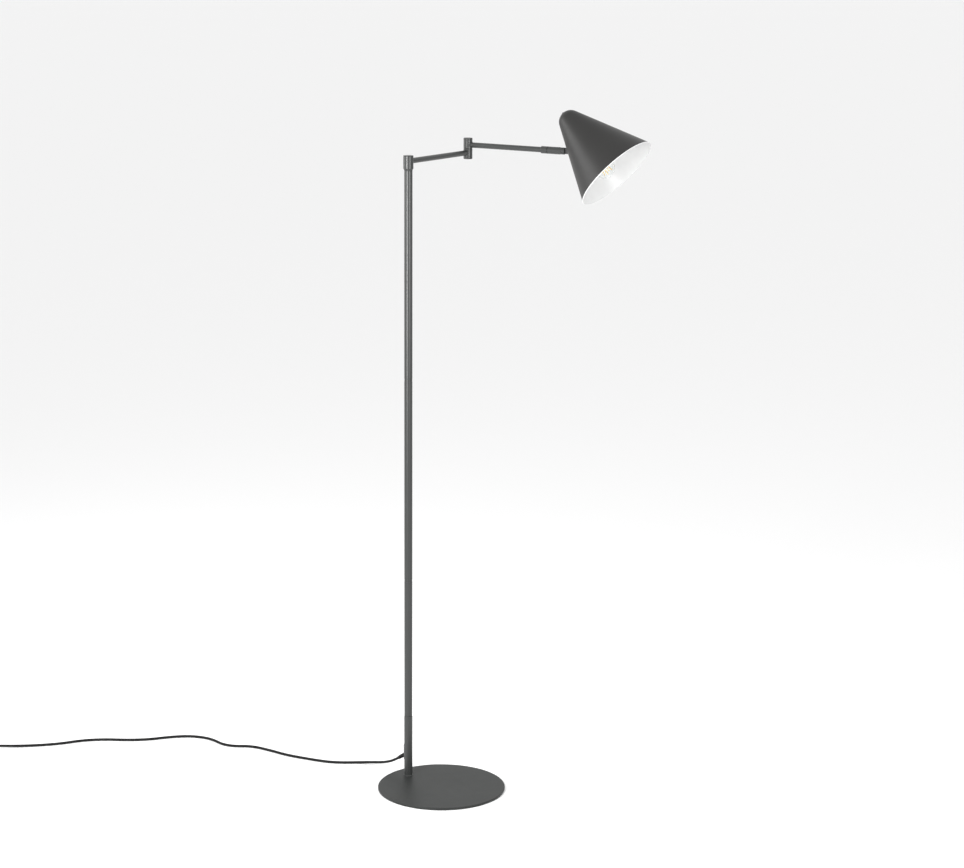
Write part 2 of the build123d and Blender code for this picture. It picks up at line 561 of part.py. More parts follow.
SWITCH_AXIS = 7.5            # height of the cord's centre in the switch and the plug
COIL_MIDDLE = 34.0           # radius at the middle of the turns
COIL_HALF = 6.0              # two turns side by side and one on another
COIL_LOW = 1.2
COIL_LEAD_IN = 55.0          # from the switch to where the cord meets the coil
COIL_EXIT = 200.0            # degrees round the coil where the plug's lead leaves it
TIE_TURN = -60.0
PLUG_LONG = 36.0
PLUG_WIDE = 35.0
PLUG_THICK = 13.7
PIN_LONG = 19.0
PIN_APART = 18.6


def arc_radii(points):
    radii = []
    for before, here, after in zip(points, points[1:], points[2:]):
        first, second = here - before, after - here
        turn = radians(first.get_angle(second))
        radii.append(0.45 * min(first.length, second.length) / tan(turn / 2))
    return radii


def cord_tube(node, route, minus=None):
    points = [Vector(p) for p in route]
    radii = arc_radii(points)
    tube = lead(points, radii, CORD_RADIUS)
    length = tube.volume / (pi * CORD_RADIUS ** 2)
    path = FilletPolyline(*points, radius=radii)
    print(node, "length", round(path.length, 1), "by volume", round(length, 1))
    save(node, tube - minus if minus else tube)
    return path.length


switch_start = Vector(*CORD_ROUTE[-1])
switch_dir = (Vector(CORD_ROUTE[-1]) - Vector(CORD_ROUTE[-2]))
switch_dir = Vector(switch_dir.X, switch_dir.Y, 0).normalized()
switch_end = switch_start + switch_dir * SWITCH_SIZE[0]
switch_frame = Plane(switch_start + switch_dir * (SWITCH_SIZE[0] / 2) - UP * SWITCH_AXIS,
                     x_dir=switch_dir, z_dir=UP).location
ROCKER_LONG = 19.0
ROCKER_WIDE = 11.0
ROCKER_REST = 7.0            # degrees the rocker leans at rest
ROCKER_AXIS = 12.4           # height of the rocker's pivot above the floor


def switch():
    long, wide, high = SWITCH_SIZE
    split = high / 2
    wall = 2.4
    outline = SlotOverall(long, wide)
    room = extrude(SlotOverall(long - 2 * wall, wide - 2 * wall), high - 2 * wall)
    cord_bore = Plane((-long / 2, 0, SWITCH_AXIS), x_dir=(0, 1, 0), z_dir=(1, 0, 0)).location
    cord_bore = cord_bore * rod(2.2, -1, long + 1)
    pivot = Pos(0, 0, ROCKER_AXIS) * Rot(90, 0, 0)

    base = extrude(outline, split)
    base = chamfer(base.edges().group_by(Axis.Z)[0], 1.0)
    holes = [Pos(x, 0, 0) for x in (-20, 20)]
    base -= Pos(0, 0, wall) * room + cord_bore
    for hole in holes:
        base -= hole * (rod(3, -1, 1.2) + rod(1.6, 0, wall + 1))
    save("switch_base", switch_frame * base)
    screw = rod(2.9, 0.2, 1.2) + rod(1.5, 1.2, 5)
    save("switch_screws", *[switch_frame * hole * screw for hole in holes])

    cover = Pos(0, 0, split) * extrude(outline, high - split)
    cover = fillet(cover.edges().group_by(Axis.Z)[-1], 2.2)
    cover -= Pos(0, 0, wall) * room + cord_bore
    cover -= Pos(0, 0, split) * extrude(Rectangle(ROCKER_LONG + 1, ROCKER_WIDE + 0.6), high)
    cover -= pivot * rod(1.2 + BORE_PLAY, -9.5, 9.5)
    save("switch_cover", switch_frame * cover)

    dish = Rectangle(ROCKER_LONG, 5) - Pos(0, 21) * Circle(19.5)
    rocker = extrude(Plane.XZ.offset(-ROCKER_WIDE / 2) * dish, ROCKER_WIDE)
    rocker += Rot(90, 0, 0) * rod(1.2, -9.2, 9.2)
    save("switch_rocker", switch_frame * Pos(0, 0, ROCKER_AXIS) * Rot(0, ROCKER_REST, 0) * rocker)


def coil_and_plug():
    side = UP.cross(switch_dir)
    floor_end = Vector(switch_end.X, switch_end.Y, 0)
    meet = floor_end + switch_dir * COIL_LEAD_IN
    centre = meet + side * COIL_MIDDLE
    outer = COIL_MIDDLE + COIL_HALF
    overlap = (outer ** 2 - COIL_MIDDLE ** 2) ** 0.5
    low_turn = COIL_LOW + CORD_RADIUS
    high_turn = low_turn + 2 * CORD_RADIUS
    coil = ring(outer, COIL_MIDDLE - COIL_HALF, COIL_LOW, COIL_LOW + 2 * COIL_HALF)
    coil = Location(centre) * fillet(coil.edges().filter_by(GeomType.CIRCLE), 2.5)
    save("cord_coil", coil)
    inner, high = COIL_MIDDLE - COIL_HALF, COIL_LOW + 2 * COIL_HALF
    tie = ring(outer + 1.1, inner - 1.1, COIL_LOW - 1.1, high + 1.1) - ring(outer, inner, COIL_LOW, high)
    tie &= Pos(COIL_MIDDLE, 0, COIL_LOW) * Box(4 * COIL_HALF, 11, 6 * COIL_HALF)
    save("coil_tie", Location(centre) * Rot(0, 0, TIE_TURN) * tie)

    run = COIL_LEAD_IN - overlap
    def into(along, sideways, height):
        return floor_end + switch_dir * along + side * sideways + UP * height
    route = [into(0, 0, SWITCH_AXIS), into(run * 0.45, 0, SWITCH_AXIS), into(run + 8, 0, low_turn)]
    cord_tube("switch_cord", route, coil)

    turn = radians(COIL_EXIT)
    away = Vector(-sin(turn), cos(turn), 0)
    left = UP.cross(away)
    off = centre + Vector(cos(turn), sin(turn), 0) * COIL_MIDDLE + away * (overlap - 8)
    def out(along, sideways, height):
        return off + away * along + left * sideways + UP * height
    route = [out(0, 0, high_turn), out(20, 0, high_turn - 1.5), out(40, -2, 4.0), out(60, -7, FLOOR_CORD),
             out(84, -9, PLUG_THICK / 2), out(102, -9, PLUG_THICK / 2)]
    cord_tube("plug_cord", route, coil)
    plug_frame = Plane(out(102, -9, PLUG_THICK / 2), x_dir=left, z_dir=away).location
    outline = Polyline((-5.5, 0), (-6.5, 6), (-PLUG_WIDE / 2, 22), (-PLUG_WIDE / 2, PLUG_LONG),
                       (PLUG_WIDE / 2, PLUG_LONG), (PLUG_WIDE / 2, 22), (6.5, 6), (5.5, 0), close=True)
    body = extrude(Plane.XZ.offset(-PLUG_THICK / 2) * make_face(outline), PLUG_THICK)
    body = fillet(body.edges().filter_by(Axis.Y), 2.5)
    body = chamfer(body.faces().filter_by(Axis.Y).edges(), 1.2)
    pins = [plug_frame * Pos(x, 0, 0) * fillet(outer_edge(rod(2, PLUG_LONG, PLUG_LONG + PIN_LONG),
                                                         PLUG_LONG + PIN_LONG), 1.5)
            for x in (-PIN_APART / 2, PIN_APART / 2)]
    save("plug_body", plug_frame * body)
    save("plug_pins", *pins)


if __name__ == "__main__":
    os.makedirs("parts", exist_ok=True)
    foot()
    pole()
    hub()
    arm_one()
    arm_two()
    swivel_sleeve()
    tilt_stem()
    shade()
    bracket()
    lampholder()
    bulb()
    head_lead()
    cord_tube("mains_cord", CORD_ROUTE)
    switch()
    coil_and_plug()
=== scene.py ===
import json
import bmesh
import bpy
from math import atan2, cos, pi, radians, sin, tan
from mathutils import Matrix, Vector

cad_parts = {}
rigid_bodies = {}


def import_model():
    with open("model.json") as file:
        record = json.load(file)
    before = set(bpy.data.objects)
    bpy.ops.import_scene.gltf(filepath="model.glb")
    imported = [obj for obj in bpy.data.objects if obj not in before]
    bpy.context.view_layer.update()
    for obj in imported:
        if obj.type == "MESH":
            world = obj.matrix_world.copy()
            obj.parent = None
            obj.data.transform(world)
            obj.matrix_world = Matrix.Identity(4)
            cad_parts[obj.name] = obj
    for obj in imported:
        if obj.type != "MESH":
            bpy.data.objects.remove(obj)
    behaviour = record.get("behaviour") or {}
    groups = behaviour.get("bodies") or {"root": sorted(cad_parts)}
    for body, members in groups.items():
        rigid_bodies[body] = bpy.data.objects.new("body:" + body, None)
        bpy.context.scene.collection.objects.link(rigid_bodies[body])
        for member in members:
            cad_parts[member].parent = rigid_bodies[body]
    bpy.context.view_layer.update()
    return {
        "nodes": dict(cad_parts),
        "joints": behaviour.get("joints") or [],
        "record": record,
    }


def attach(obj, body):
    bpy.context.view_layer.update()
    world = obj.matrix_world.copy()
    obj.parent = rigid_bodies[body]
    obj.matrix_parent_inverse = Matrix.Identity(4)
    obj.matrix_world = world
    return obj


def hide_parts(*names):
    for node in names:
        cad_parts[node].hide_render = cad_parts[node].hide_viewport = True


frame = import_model()
scene = bpy.context.scene
joints = {joint["name"]: joint for joint in frame["joints"]}

# places read from the frame
hubSpot = Vector(joints["hub_swing"]["pos_m"])
knuckleSpot = Vector(joints["knuckle_swing"]["pos_m"])
armOneWay = Vector((*(knuckleSpot - hubSpot).xy, 0)).normalized()
armTwoWay = Vector(joints["head_roll"]["axis"]).normalized()
tiltAxis = Vector(joints["shade_tilt"]["axis"]).normalized()
upWay = Vector((0, 0, 1))
floorFrame = Matrix.Identity(4)


def frameOf(origin, zWay, xWay):
    # a placing matrix from an origin, the direction of Z and a rough direction of X
    z = zWay.normalized()
    x = (xWay - z * xWay.dot(z)).normalized()
    return Matrix.Translation(origin) @ Matrix((x, z.cross(x), z)).transposed().to_4x4()


poleFrame = Matrix.Translation((hubSpot.x, hubSpot.y, 0))
knuckleFrame = Matrix.Translation((knuckleSpot.x, knuckleSpot.y, 0))
armOneFrame = frameOf(hubSpot, armOneWay, upWay)
armTwoFrame = frameOf(knuckleSpot, armTwoWay, upWay)

# camera
viewer = dict(place=(-3.8242, -3.5837, 1.9271), turn=-47.8, dip=11.99, roll=0.367, lens=91.8, sensor=36,
              sees=200)


def makeCamera():
    lens = bpy.data.cameras.new("camera")
    lens.lens, lens.sensor_width = viewer["lens"], viewer["sensor"]
    lens.clip_end = viewer["sees"]
    camera = bpy.data.objects.new("camera", lens)
    scene.collection.objects.link(camera)
    aim = Matrix.Rotation(radians(viewer["turn"]), 4, "Z")
    aim = aim @ Matrix.Rotation(radians(90 - viewer["dip"]), 4, "X")
    aim = aim @ Matrix.Rotation(radians(viewer["roll"]), 4, "Z")
    camera.matrix_world = Matrix.Translation(viewer["place"]) @ aim
    scene.camera = camera


makeCamera()
print("camera set")

# studio: pale floor, soft lights
studio = dict(floorSize=160, floorTone=(0.86, 0.86, 0.86, 1), floorRough=0.75, skyTone=(1, 1, 1, 1),
              skyPower=1.03,
              lamps=(("leftStrip", (-1.7, -0.2, 1.15), (0.3, 1.0), 40),
                     ("rightStrip", (-0.3, -1.9, 1.2), (0.22, 0.8), 20),
                     ("sidePanel", (-1.2, 1.9, 1.75), (1.1, 1.5), 24)),
              lampAim=(0.1, 0.05, 1.3))


def makeStudio():
    bpy.ops.mesh.primitive_plane_add(size=studio["floorSize"])
    floor = bpy.context.object
    floor.name = "floor"
    paint = bpy.data.materials.new("paleFloor")
    paint.use_nodes = True
    shader = paint.node_tree.nodes["Principled BSDF"]
    shader.inputs["Base Color"].default_value = studio["floorTone"]
    shader.inputs["Roughness"].default_value = studio["floorRough"]
    floor.data.materials.append(paint)
    world = bpy.data.worlds.new("studioSky")
    scene.world = world
    world.use_nodes = True
    sky = world.node_tree.nodes["Background"]
    sky.inputs["Color"].default_value = studio["skyTone"]
    sky.inputs["Strength"].default_value = studio["skyPower"]
    for name, place, size, power in studio["lamps"]:
        light = bpy.data.lights.new(name, "AREA")
        light.shape, light.size, light.size_y = "RECTANGLE", size[0], size[1]
        light.energy = power
        lamp = bpy.data.objects.new(name, light)
        lamp.location = place
        lamp.rotation_mode = "QUATERNION"
        lamp.rotation_quaternion = (Vector(studio["lampAim"]) - Vector(place)).to_track_quat("-Z", "Y")
        scene.collection.objects.link(lamp)
    scene.view_settings.view_transform = "Standard"


makeStudio()
print("studio set")


# materials
def newMaterial(name):
    material = bpy.data.materials.new(name)
    material.use_nodes = True
    tree = material.node_tree
    shader = tree.nodes["Principled BSDF"]
    spot = tree.nodes.new("ShaderNodeTexCoord")
    return material, tree, shader, spot.outputs["Object"]


def noise(tree, spot, scale, detail=3.0, rough=0.5):
    node = tree.nodes.new("ShaderNodeTexNoise")
    node.inputs["Scale"].default_value = scale
    node.inputs["Detail"].default_value = detail
    node.inputs["Roughness"].default_value = rough
    tree.links.new(spot, node.inputs["Vector"])
    return node.outputs["Fac"]


def ramp(tree, fac, stops):
    node = tree.nodes.new("ShaderNodeValToRGB")
    while len(node.color_ramp.elements) < len(stops):
        node.color_ramp.elements.new(0.5)
    for element, (place, tone) in zip(node.color_ramp.elements, stops):
        element.position, element.color = place, tone
    tree.links.new(fac, node.inputs["Fac"])
    return node.outputs["Color"]


def mapped(tree, fac, low, high, fromLow=0.3, fromHigh=0.7):
    node = tree.nodes.new("ShaderNodeMapRange")
    for socket, value in (("From Min", fromLow), ("From Max", fromHigh), ("To Min", low), ("To Max", high)):
        node.inputs[socket].default_value = value
    tree.links.new(fac, node.inputs["Value"])
    return node.outputs["Result"]


def bump(tree, heights, shader):
    # heights: (factor socket, metres), chained one on another
    last = None
    for fac, depth in heights:
        node = tree.nodes.new("ShaderNodeBump")
        node.inputs["Distance"].default_value = depth
        tree.links.new(fac, node.inputs["Height"])
        if last:
            tree.links.new(last, node.inputs["Normal"])
        last = node.outputs["Normal"]
    tree.links.new(last, shader.inputs["Normal"])


def tone(grey, tint=(0, 0, 0)):
    return (grey + tint[0], grey + tint[1], grey + tint[2], 1)


def roughened(tree, shader, fac, low, high, fromLow=0.3, fromHigh=0.7):
    spread = mapped(tree, fac, low, high, fromLow, fromHigh)
    tree.links.new(spread, shader.inputs["Roughness"])


def coloured(tree, shader, fac, stops):
    tree.links.new(ramp(tree, fac, stops), shader.inputs["Base Color"])


powder = dict(clouds=9, swing=0.001, specks=2600, speckRange=(0.85, 1.15), gloss=34,
              glossRange=(-0.01, 0.015), peel=1400, peelDepth=0.00003, grain=5200, grainDepth=0.00001,
              edgeRange=(0.56, 0.64), scuffs=160, scuffRange=(0.5, 0.7), rubbed=0.05,
              cool=(-0.0008, 0.0008, 0.0), warm=(0.0006, 0.0002, -0.0004))


def mixed(tree, blend, share, first, second):
    # share, first and second are sockets or plain values
    node = tree.nodes.new("ShaderNodeMix")
    node.data_type, node.blend_type = "RGBA", blend
    for socket, value in (("Factor", share), ("A", first), ("B", second)):
        if isinstance(value, bpy.types.NodeSocket):
            tree.links.new(value, node.inputs[socket])
        else:
            node.inputs[socket].default_value = value
    return node.outputs["Result"]


def powderCoat(name, grey, rough, shine, tint):
    # powder coat: orange peel, fine grain, faint clouds of tone, edges rubbed a little lighter
    material, tree, shader, spot = newMaterial(name)
    dark, pale = tone(grey - powder["swing"], tint), tone(grey + powder["swing"], tint)
    base = ramp(tree, noise(tree, spot, powder["clouds"], 4), ((0.3, dark), (0.7, pale)))
    darkSpeck, paleSpeck = (tone(grade) for grade in powder["speckRange"])
    speck = ramp(tree, noise(tree, spot, powder["specks"], 2), ((0.35, darkSpeck), (0.65, paleSpeck)))
    specked = mixed(tree, "MULTIPLY", 1, base, speck)
    edge = tree.nodes.new("ShaderNodeNewGeometry").outputs["Pointiness"]
    scuffs = tree.nodes.new("ShaderNodeMath")
    scuffs.operation = "MULTIPLY"
    tree.links.new(mapped(tree, edge, 0, 1, *powder["edgeRange"]), scuffs.inputs[0])
    patches = noise(tree, spot, powder["scuffs"], 4)
    tree.links.new(mapped(tree, patches, 0, 1, *powder["scuffRange"]), scuffs.inputs[1])
    worn = mixed(tree, "MIX", scuffs.outputs[0], specked, tone(powder["rubbed"]))
    tree.links.new(worn, shader.inputs["Base Color"])
    less, more = powder["glossRange"]
    roughened(tree, shader, noise(tree, spot, powder["gloss"], 5), rough + less, rough + more)
    shader.inputs["Specular IOR Level"].default_value = shine
    bump(tree, ((noise(tree, spot, powder["peel"], 2), powder["peelDepth"]),
                (noise(tree, spot, powder["grain"], 1), powder["grainDepth"])), shader)
    return material


enamel = dict(clouds=14, dark=(0.6, 0.602, 0.6, 1), pale=(0.615, 0.617, 0.615, 1), gloss=60,
              rough=(0.32, 0.42), peel=900, peelDepth=0.00005)


def whiteEnamel():
    # the shade's lining: satin white with a light orange peel
    material, tree, shader, spot = newMaterial("whiteEnamel")
    clouds = noise(tree, spot, enamel["clouds"], 4)
    coloured(tree, shader, clouds, ((0.3, enamel["dark"]), (0.7, enamel["pale"])))
    roughened(tree, shader, noise(tree, spot, enamel["gloss"], 3), *enamel["rough"])
    bump(tree, ((noise(tree, spot, enamel["peel"], 2), enamel["peelDepth"]),), shader)
    return material


plastic = dict(clouds=40, darker=0.85, paler=1.15, gloss=220, glossRange=(-0.06, 0.08), sparks=3800,
               sparkRough=0.7, sparkDepth=0.00003, fineDepth=0.00001)


def mouldedPlastic(name, grey, rough, sparkDepth=plastic["sparkDepth"]):
    # spark-eroded mould texture and slightly uneven gloss
    material, tree, shader, spot = newMaterial(name)
    dark, pale = tone(grey * plastic["darker"]), tone(grey * plastic["paler"])
    coloured(tree, shader, noise(tree, spot, plastic["clouds"], 3), ((0.3, dark), (0.7, pale)))
    less, more = plastic["glossRange"]
    roughened(tree, shader, noise(tree, spot, plastic["gloss"], 4), rough + less, rough + more)
    bump(tree, ((noise(tree, spot, plastic["sparks"], 3, plastic["sparkRough"]), sparkDepth),), shader)
    return material


vinyl = dict(dust=90, dark=0.006, dusty=0.014, gloss=300, rough=(0.42, 0.6), shine=0.12,
             waves=160, waveDepth=0.00012, grain=3000, grainDepth=0.00002)


def cordJacket():
    # soft vinyl: faint waviness, fine grain and patches of dust
    material, tree, shader, spot = newMaterial("cordJacket")
    dust = noise(tree, spot, vinyl["dust"], 5)
    coloured(tree, shader, dust, ((0.35, tone(vinyl["dark"])), (0.72, tone(vinyl["dusty"]))))
    roughened(tree, shader, noise(tree, spot, vinyl["gloss"], 4), *vinyl["rough"])
    shader.inputs["Specular IOR Level"].default_value = vinyl["shine"]
    bump(tree, ((noise(tree, spot, vinyl["waves"], 2), vinyl["waveDepth"]),
                (noise(tree, spot, vinyl["grain"], 2), vinyl["grainDepth"])), shader)
    return material


plate = dict(clouds=120, dulled=0.82, marks=900, markDepth=0.00002, glossRange=(-0.07, 0.12))


def platedMetal(name, colour, rough):
    # bright plate with fine marks and cloudy patches
    material, tree, shader, spot = newMaterial(name)
    dulled = tuple(c * plate["dulled"] for c in colour)
    coloured(tree, shader, noise(tree, spot, plate["clouds"], 5), ((0.3, (*dulled, 1)), (0.7, (*colour, 1))))
    shader.inputs["Metallic"].default_value = 1
    less, more = plate["glossRange"]
    roughened(tree, shader, noise(tree, spot, plate["marks"], 4), rough + less, rough + more)
    bump(tree, ((noise(tree, spot, plate["marks"], 3), plate["markDepth"]),), shader)
    return material


glass = dict(colour=(0.98, 0.99, 0.985, 1), bend=1.45, smears=70, rough=(0.0, 0.035), smearRange=(0.35, 0.8),
             waves=45, waveDepth=0.00004)


def clearGlass():
    material, tree, shader, spot = newMaterial("clearGlass")
    shader.inputs["Base Color"].default_value = glass["colour"]
    shader.inputs["Transmission Weight"].default_value = 1
    shader.inputs["IOR"].default_value = glass["bend"]
    roughened(tree, shader, noise(tree, spot, glass["smears"], 3), *glass["rough"], *glass["smearRange"])
    bump(tree, ((noise(tree, spot, glass["waves"], 1), glass["waveDepth"]),), shader)
    return material


phosphor = dict(clouds=500, deep=(0.93, 0.52, 0.08, 1), light=(1.0, 0.7, 0.2, 1), gloss=900,
                rough=(0.35, 0.55), glow=(1.0, 0.62, 0.18, 1), glowPower=0.25, grain=1500, grainDepth=0.00005)


def phosphorGel():
    # the yellow coat of the lamp's filaments, with a faint glow of its own
    material, tree, shader, spot = newMaterial("phosphorGel")
    clouds = noise(tree, spot, phosphor["clouds"], 3)
    coloured(tree, shader, clouds, ((0.35, phosphor["deep"]), (0.65, phosphor["light"])))
    roughened(tree, shader, noise(tree, spot, phosphor["gloss"], 2), *phosphor["rough"])
    shader.inputs["Emission Color"].default_value = phosphor["glow"]
    shader.inputs["Emission Strength"].default_value = phosphor["glowPower"]
    bump(tree, ((noise(tree, spot, phosphor["grain"], 2), phosphor["grainDepth"]),), shader)
    return material


foam = dict(cells=1300, pale=0.05, dark=0.025, gloss=300, rough=(0.82, 0.95), cellDepth=0.0001)


def closedFoam():
    material, tree, shader, spot = newMaterial("closedFoam")
    cells = tree.nodes.new("ShaderNodeTexVoronoi")
    cells.inputs["Scale"].default_value = foam["cells"]
    tree.links.new(spot, cells.inputs["Vector"])
    coloured(tree, shader, cells.outputs["Distance"], ((0.1, tone(foam["pale"])), (0.6, tone(foam["dark"]))))
    roughened(tree, shader, noise(tree, spot, foam["gloss"], 3), *foam["rough"])
    bump(tree, ((cells.outputs["Distance"], foam["cellDepth"]),), shader)
    return material


finishes = {
    "graphitePaint": powderCoat("graphitePaint", 0.025, 0.34, 0.5, powder["cool"]),
    # the foot's coat is a darker, duller copy of the graphite coat: painted shade, since the foot is less lit
    # than the tubes
    "footPaintShaded": powderCoat("footPaintShaded", 0.018, 0.48, 0.28, powder["cool"]),
    # the lampshade's outside coat is the darkest copy of the graphite coat: painted shade, since the
    # lampshade is less lit than the arms
    "lampshadePaintShaded": powderCoat("lampshadePaintShaded", 0.017, 0.42, 0.3, powder["warm"]),
    "whiteEnamel": whiteEnamel(),
    "blackPlastic": mouldedPlastic("blackPlastic", 0.01, 0.5),
    "rockerPlastic": mouldedPlastic("rockerPlastic", 0.022, 0.28, plastic["fineDepth"]),
    "blackNylon": mouldedPlastic("blackNylon", 0.03, 0.6),
    "whitePlastic": mouldedPlastic("whitePlastic", 0.8, 0.42),
    "cordJacket": cordJacket(),
    "zincPlate": platedMetal("zincPlate", (0.62, 0.62, 0.6), 0.32),
    "nickelPlate": platedMetal("nickelPlate", (0.72, 0.7, 0.66), 0.2),
    "contactBrass": platedMetal("contactBrass", (0.78, 0.58, 0.28), 0.3),
    "clearGlass": clearGlass(),
    "phosphorGel": phosphorGel(),
    "closedFoam": closedFoam(),
}
slotFinish = {"graphite_paint": "graphitePaint", "shade_paint": "lampshadePaintShaded", "black_plastic": "blackPlastic",
              "rocker_plastic": "rockerPlastic", "black_pvc": "cordJacket", "foam_pad": "closedFoam",
              "zinc_steel": "zincPlate", "nylon": "blackNylon", "holder_plastic": "whitePlastic",
              "contact_brass": "contactBrass", "bulb_glass": "clearGlass", "bulb_cap": "nickelPlate",
              "filament": "phosphorGel", "plug_pin": "nickelPlate"}
paintedOver = ("pole_spindle", "hub_nut")  # plated, but shown painted like the pieces around them


def paintMesh(mesh, finish):
    mesh.materials.clear()
    mesh.materials.append(finishes[finish])


def finishCadNodes():
    for part in frame["record"]["subparts"]:
        node = frame["nodes"].get(part["node"])
        if node is None:
            continue
        finish = "graphitePaint" if part["node"] in paintedOver else slotFinish[part["material_slot"]]
        for piece in [node] + list(node.children_recursive):
            if piece.type == "MESH":
                paintMesh(piece.data, finish)


finishCadNodes()
print("materials made:", len(finishes))


# shared builders
def span(node, place):
    # lowest and highest corner of a CAD node in a placing frame
    inverse = place.inverted()
    spots = [inverse @ v.co for v in frame["nodes"][node].data.vertices]
    return (Vector([min(s[i] for s in spots) for i in range(3)]),
            Vector([max(s[i] for s in spots) for i in range(3)]))


def dress(obj, body, finish, replaced=()):
    if finish:
        paintMesh(obj.data, finish)
    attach(obj, body)
    if replaced:
        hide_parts(*replaced)
    return obj


fine = dict(same=1e-7, sameOnCad=2e-6, flat=0.6, flatWeight=80, cornerSteps=5, cornerShare=0.49,
            bevelSteps=3, bevelFrom=32)


def meshOf(obj):
    # the object's mesh with its modifiers or its curve worked out
    bpy.context.view_layer.update()
    return bpy.data.meshes.new_from_object(obj.evaluated_get(bpy.context.evaluated_depsgraph_get()))


def settled(obj):
    # the modifiers' result becomes the object's own mesh
    baked = meshOf(obj)
    obj.modifiers.clear()
    obj.data = baked
    return obj


def evened(obj):
    # face-weighted normals, so that flats stay flat beside small roundings
    even = obj.modifiers.new("evenNormals", "WEIGHTED_NORMAL")
    even.keep_sharp = True
    even.weight = fine["flatWeight"]
    return settled(obj)


def fromMesh(name, solid):
    mesh = bpy.data.meshes.new(name)
    bmesh.ops.remove_doubles(solid, verts=solid.verts, dist=fine["same"])
    bmesh.ops.recalc_face_normals(solid, faces=solid.faces)
    solid.to_mesh(mesh)
    solid.free()
    mesh.polygons.foreach_set("use_smooth", [True] * len(mesh.polygons))
    obj = bpy.data.objects.new(name, mesh)
    scene.collection.objects.link(obj)
    return obj


def rounded(points):
    # (radius, height, rounding) corners to a fine profile
    steps = fine["cornerSteps"]
    profile = []
    for i, (r, z, soft) in enumerate(points):
        if soft <= 0 or i in (0, len(points) - 1):
            profile.append((r, z))
            continue
        here = Vector((r, z))
        before, after = Vector(points[i - 1][:2]) - here, Vector(points[i + 1][:2]) - here
        half = before.angle(after) / 2
        cut = min(soft / tan(half), fine["cornerShare"] * min(before.length, after.length))
        real = cut * tan(half)
        middle = here + (before.normalized() + after.normalized()).normalized() * (real / sin(half))
        first, last = here + before.normalized() * cut, here + after.normalized() * cut
        startTurn = atan2(first.y - middle.y, first.x - middle.x)
        turn = atan2(last.y - middle.y, last.x - middle.x) - startTurn
        turn = (turn + pi) % (2 * pi) - pi
        turns = [startTurn + turn * k / steps for k in range(steps + 1)]
        profile += [(middle.x + real * cos(angle), middle.y + real * sin(angle)) for angle in turns]
    return profile


def lathe(name, points, place, sides=96):
    # spins rounded corners about the placing frame's Z; a corner on the axis is one point
    solid = bmesh.new()
    turns = [2 * pi * k / sides for k in range(sides)]
    rings = []
    for r, z in rounded(points):
        spots = [(r * cos(turn), r * sin(turn), z) for turn in turns] if r > 0 else [(0, 0, z)]
        rings.append([solid.verts.new(place @ Vector(spot)) for spot in spots])
    for low, high in zip(rings, rings[1:]):
        for a in range(sides):
            b = (a + 1) % sides
            if len(low) == 1:
                solid.faces.new((low[0], high[b], high[a]))
            elif len(high) == 1:
                solid.faces.new((low[a], low[b], high[0]))
            else:
                solid.faces.new((low[a], low[b], high[b], high[a]))
    return evened(fromMesh(name, solid))


def softened(node, name, width):
    # the CAD node's own shape with its sharp edges rounded
    solid = bmesh.new()
    solid.from_mesh(frame["nodes"][node].data)
    bmesh.ops.remove_doubles(solid, verts=solid.verts, dist=fine["sameOnCad"])
    bmesh.ops.dissolve_limit(solid, angle_limit=radians(fine["flat"]), verts=solid.verts, edges=solid.edges)
    obj = fromMesh(name, solid)
    edge = obj.modifiers.new("softEdge", "BEVEL")
    edge.width, edge.segments, edge.limit_method = width, fine["bevelSteps"], "ANGLE"
    edge.angle_limit = radians(fine["bevelFrom"])
    edge.use_clamp_overlap = True
    return evened(obj)


# geometry node helpers
def newTree(name, sockets):
    tree = bpy.data.node_groups.new(name, "GeometryNodeTree")
    for label, kind, value in sockets:
        socket = tree.interface.new_socket(name=label, in_out="INPUT", socket_type=kind)
        if value is not None:
            socket.default_value = value
    tree.interface.new_socket(name="Geometry", in_out="OUTPUT", socket_type="NodeSocketGeometry")
    return tree, tree.nodes.new("NodeGroupInput"), tree.nodes.new("NodeGroupOutput")


def put(tree, kind, links=None, **settings):
    node = tree.nodes.new(kind)
    for key, value in settings.items():
        setattr(node, key, value)
    for key, value in (links or {}).items():
        if isinstance(value, bpy.types.NodeSocket):
            tree.links.new(value, node.inputs[key])
        else:
            node.inputs[key].default_value = value
    return node


def calc(tree, operation, a, b=0.0):
    return put(tree, "ShaderNodeMath", {0: a, 1: b}, operation=operation).outputs[0]


def swept(tree, line, section):
    return put(tree, "GeometryNodeCurveToMesh", {"Curve": line, "Profile Curve": section}).outputs[0]


def circle(tree, sides, radius):
    return put(tree, "GeometryNodeCurvePrimitiveCircle", {"Resolution": sides, "Radius": radius}).outputs[0]


def grown(name, tree, values):
    # a finished mesh object from a geometry tree and its named inputs
    obj = bpy.data.objects.new(name, bpy.data.meshes.new(name))
    scene.collection.objects.link(obj)
    maker = obj.modifiers.new("shape", "NODES")
    maker.node_group = tree
    for socket in tree.interface.items_tree:
        if socket.in_out == "INPUT" and socket.name in values:
            maker[socket.identifier] = values[socket.name]
    return settled(obj)


def moved(obj, place):
    obj.data.transform(place)
    obj.data.update()
    return obj


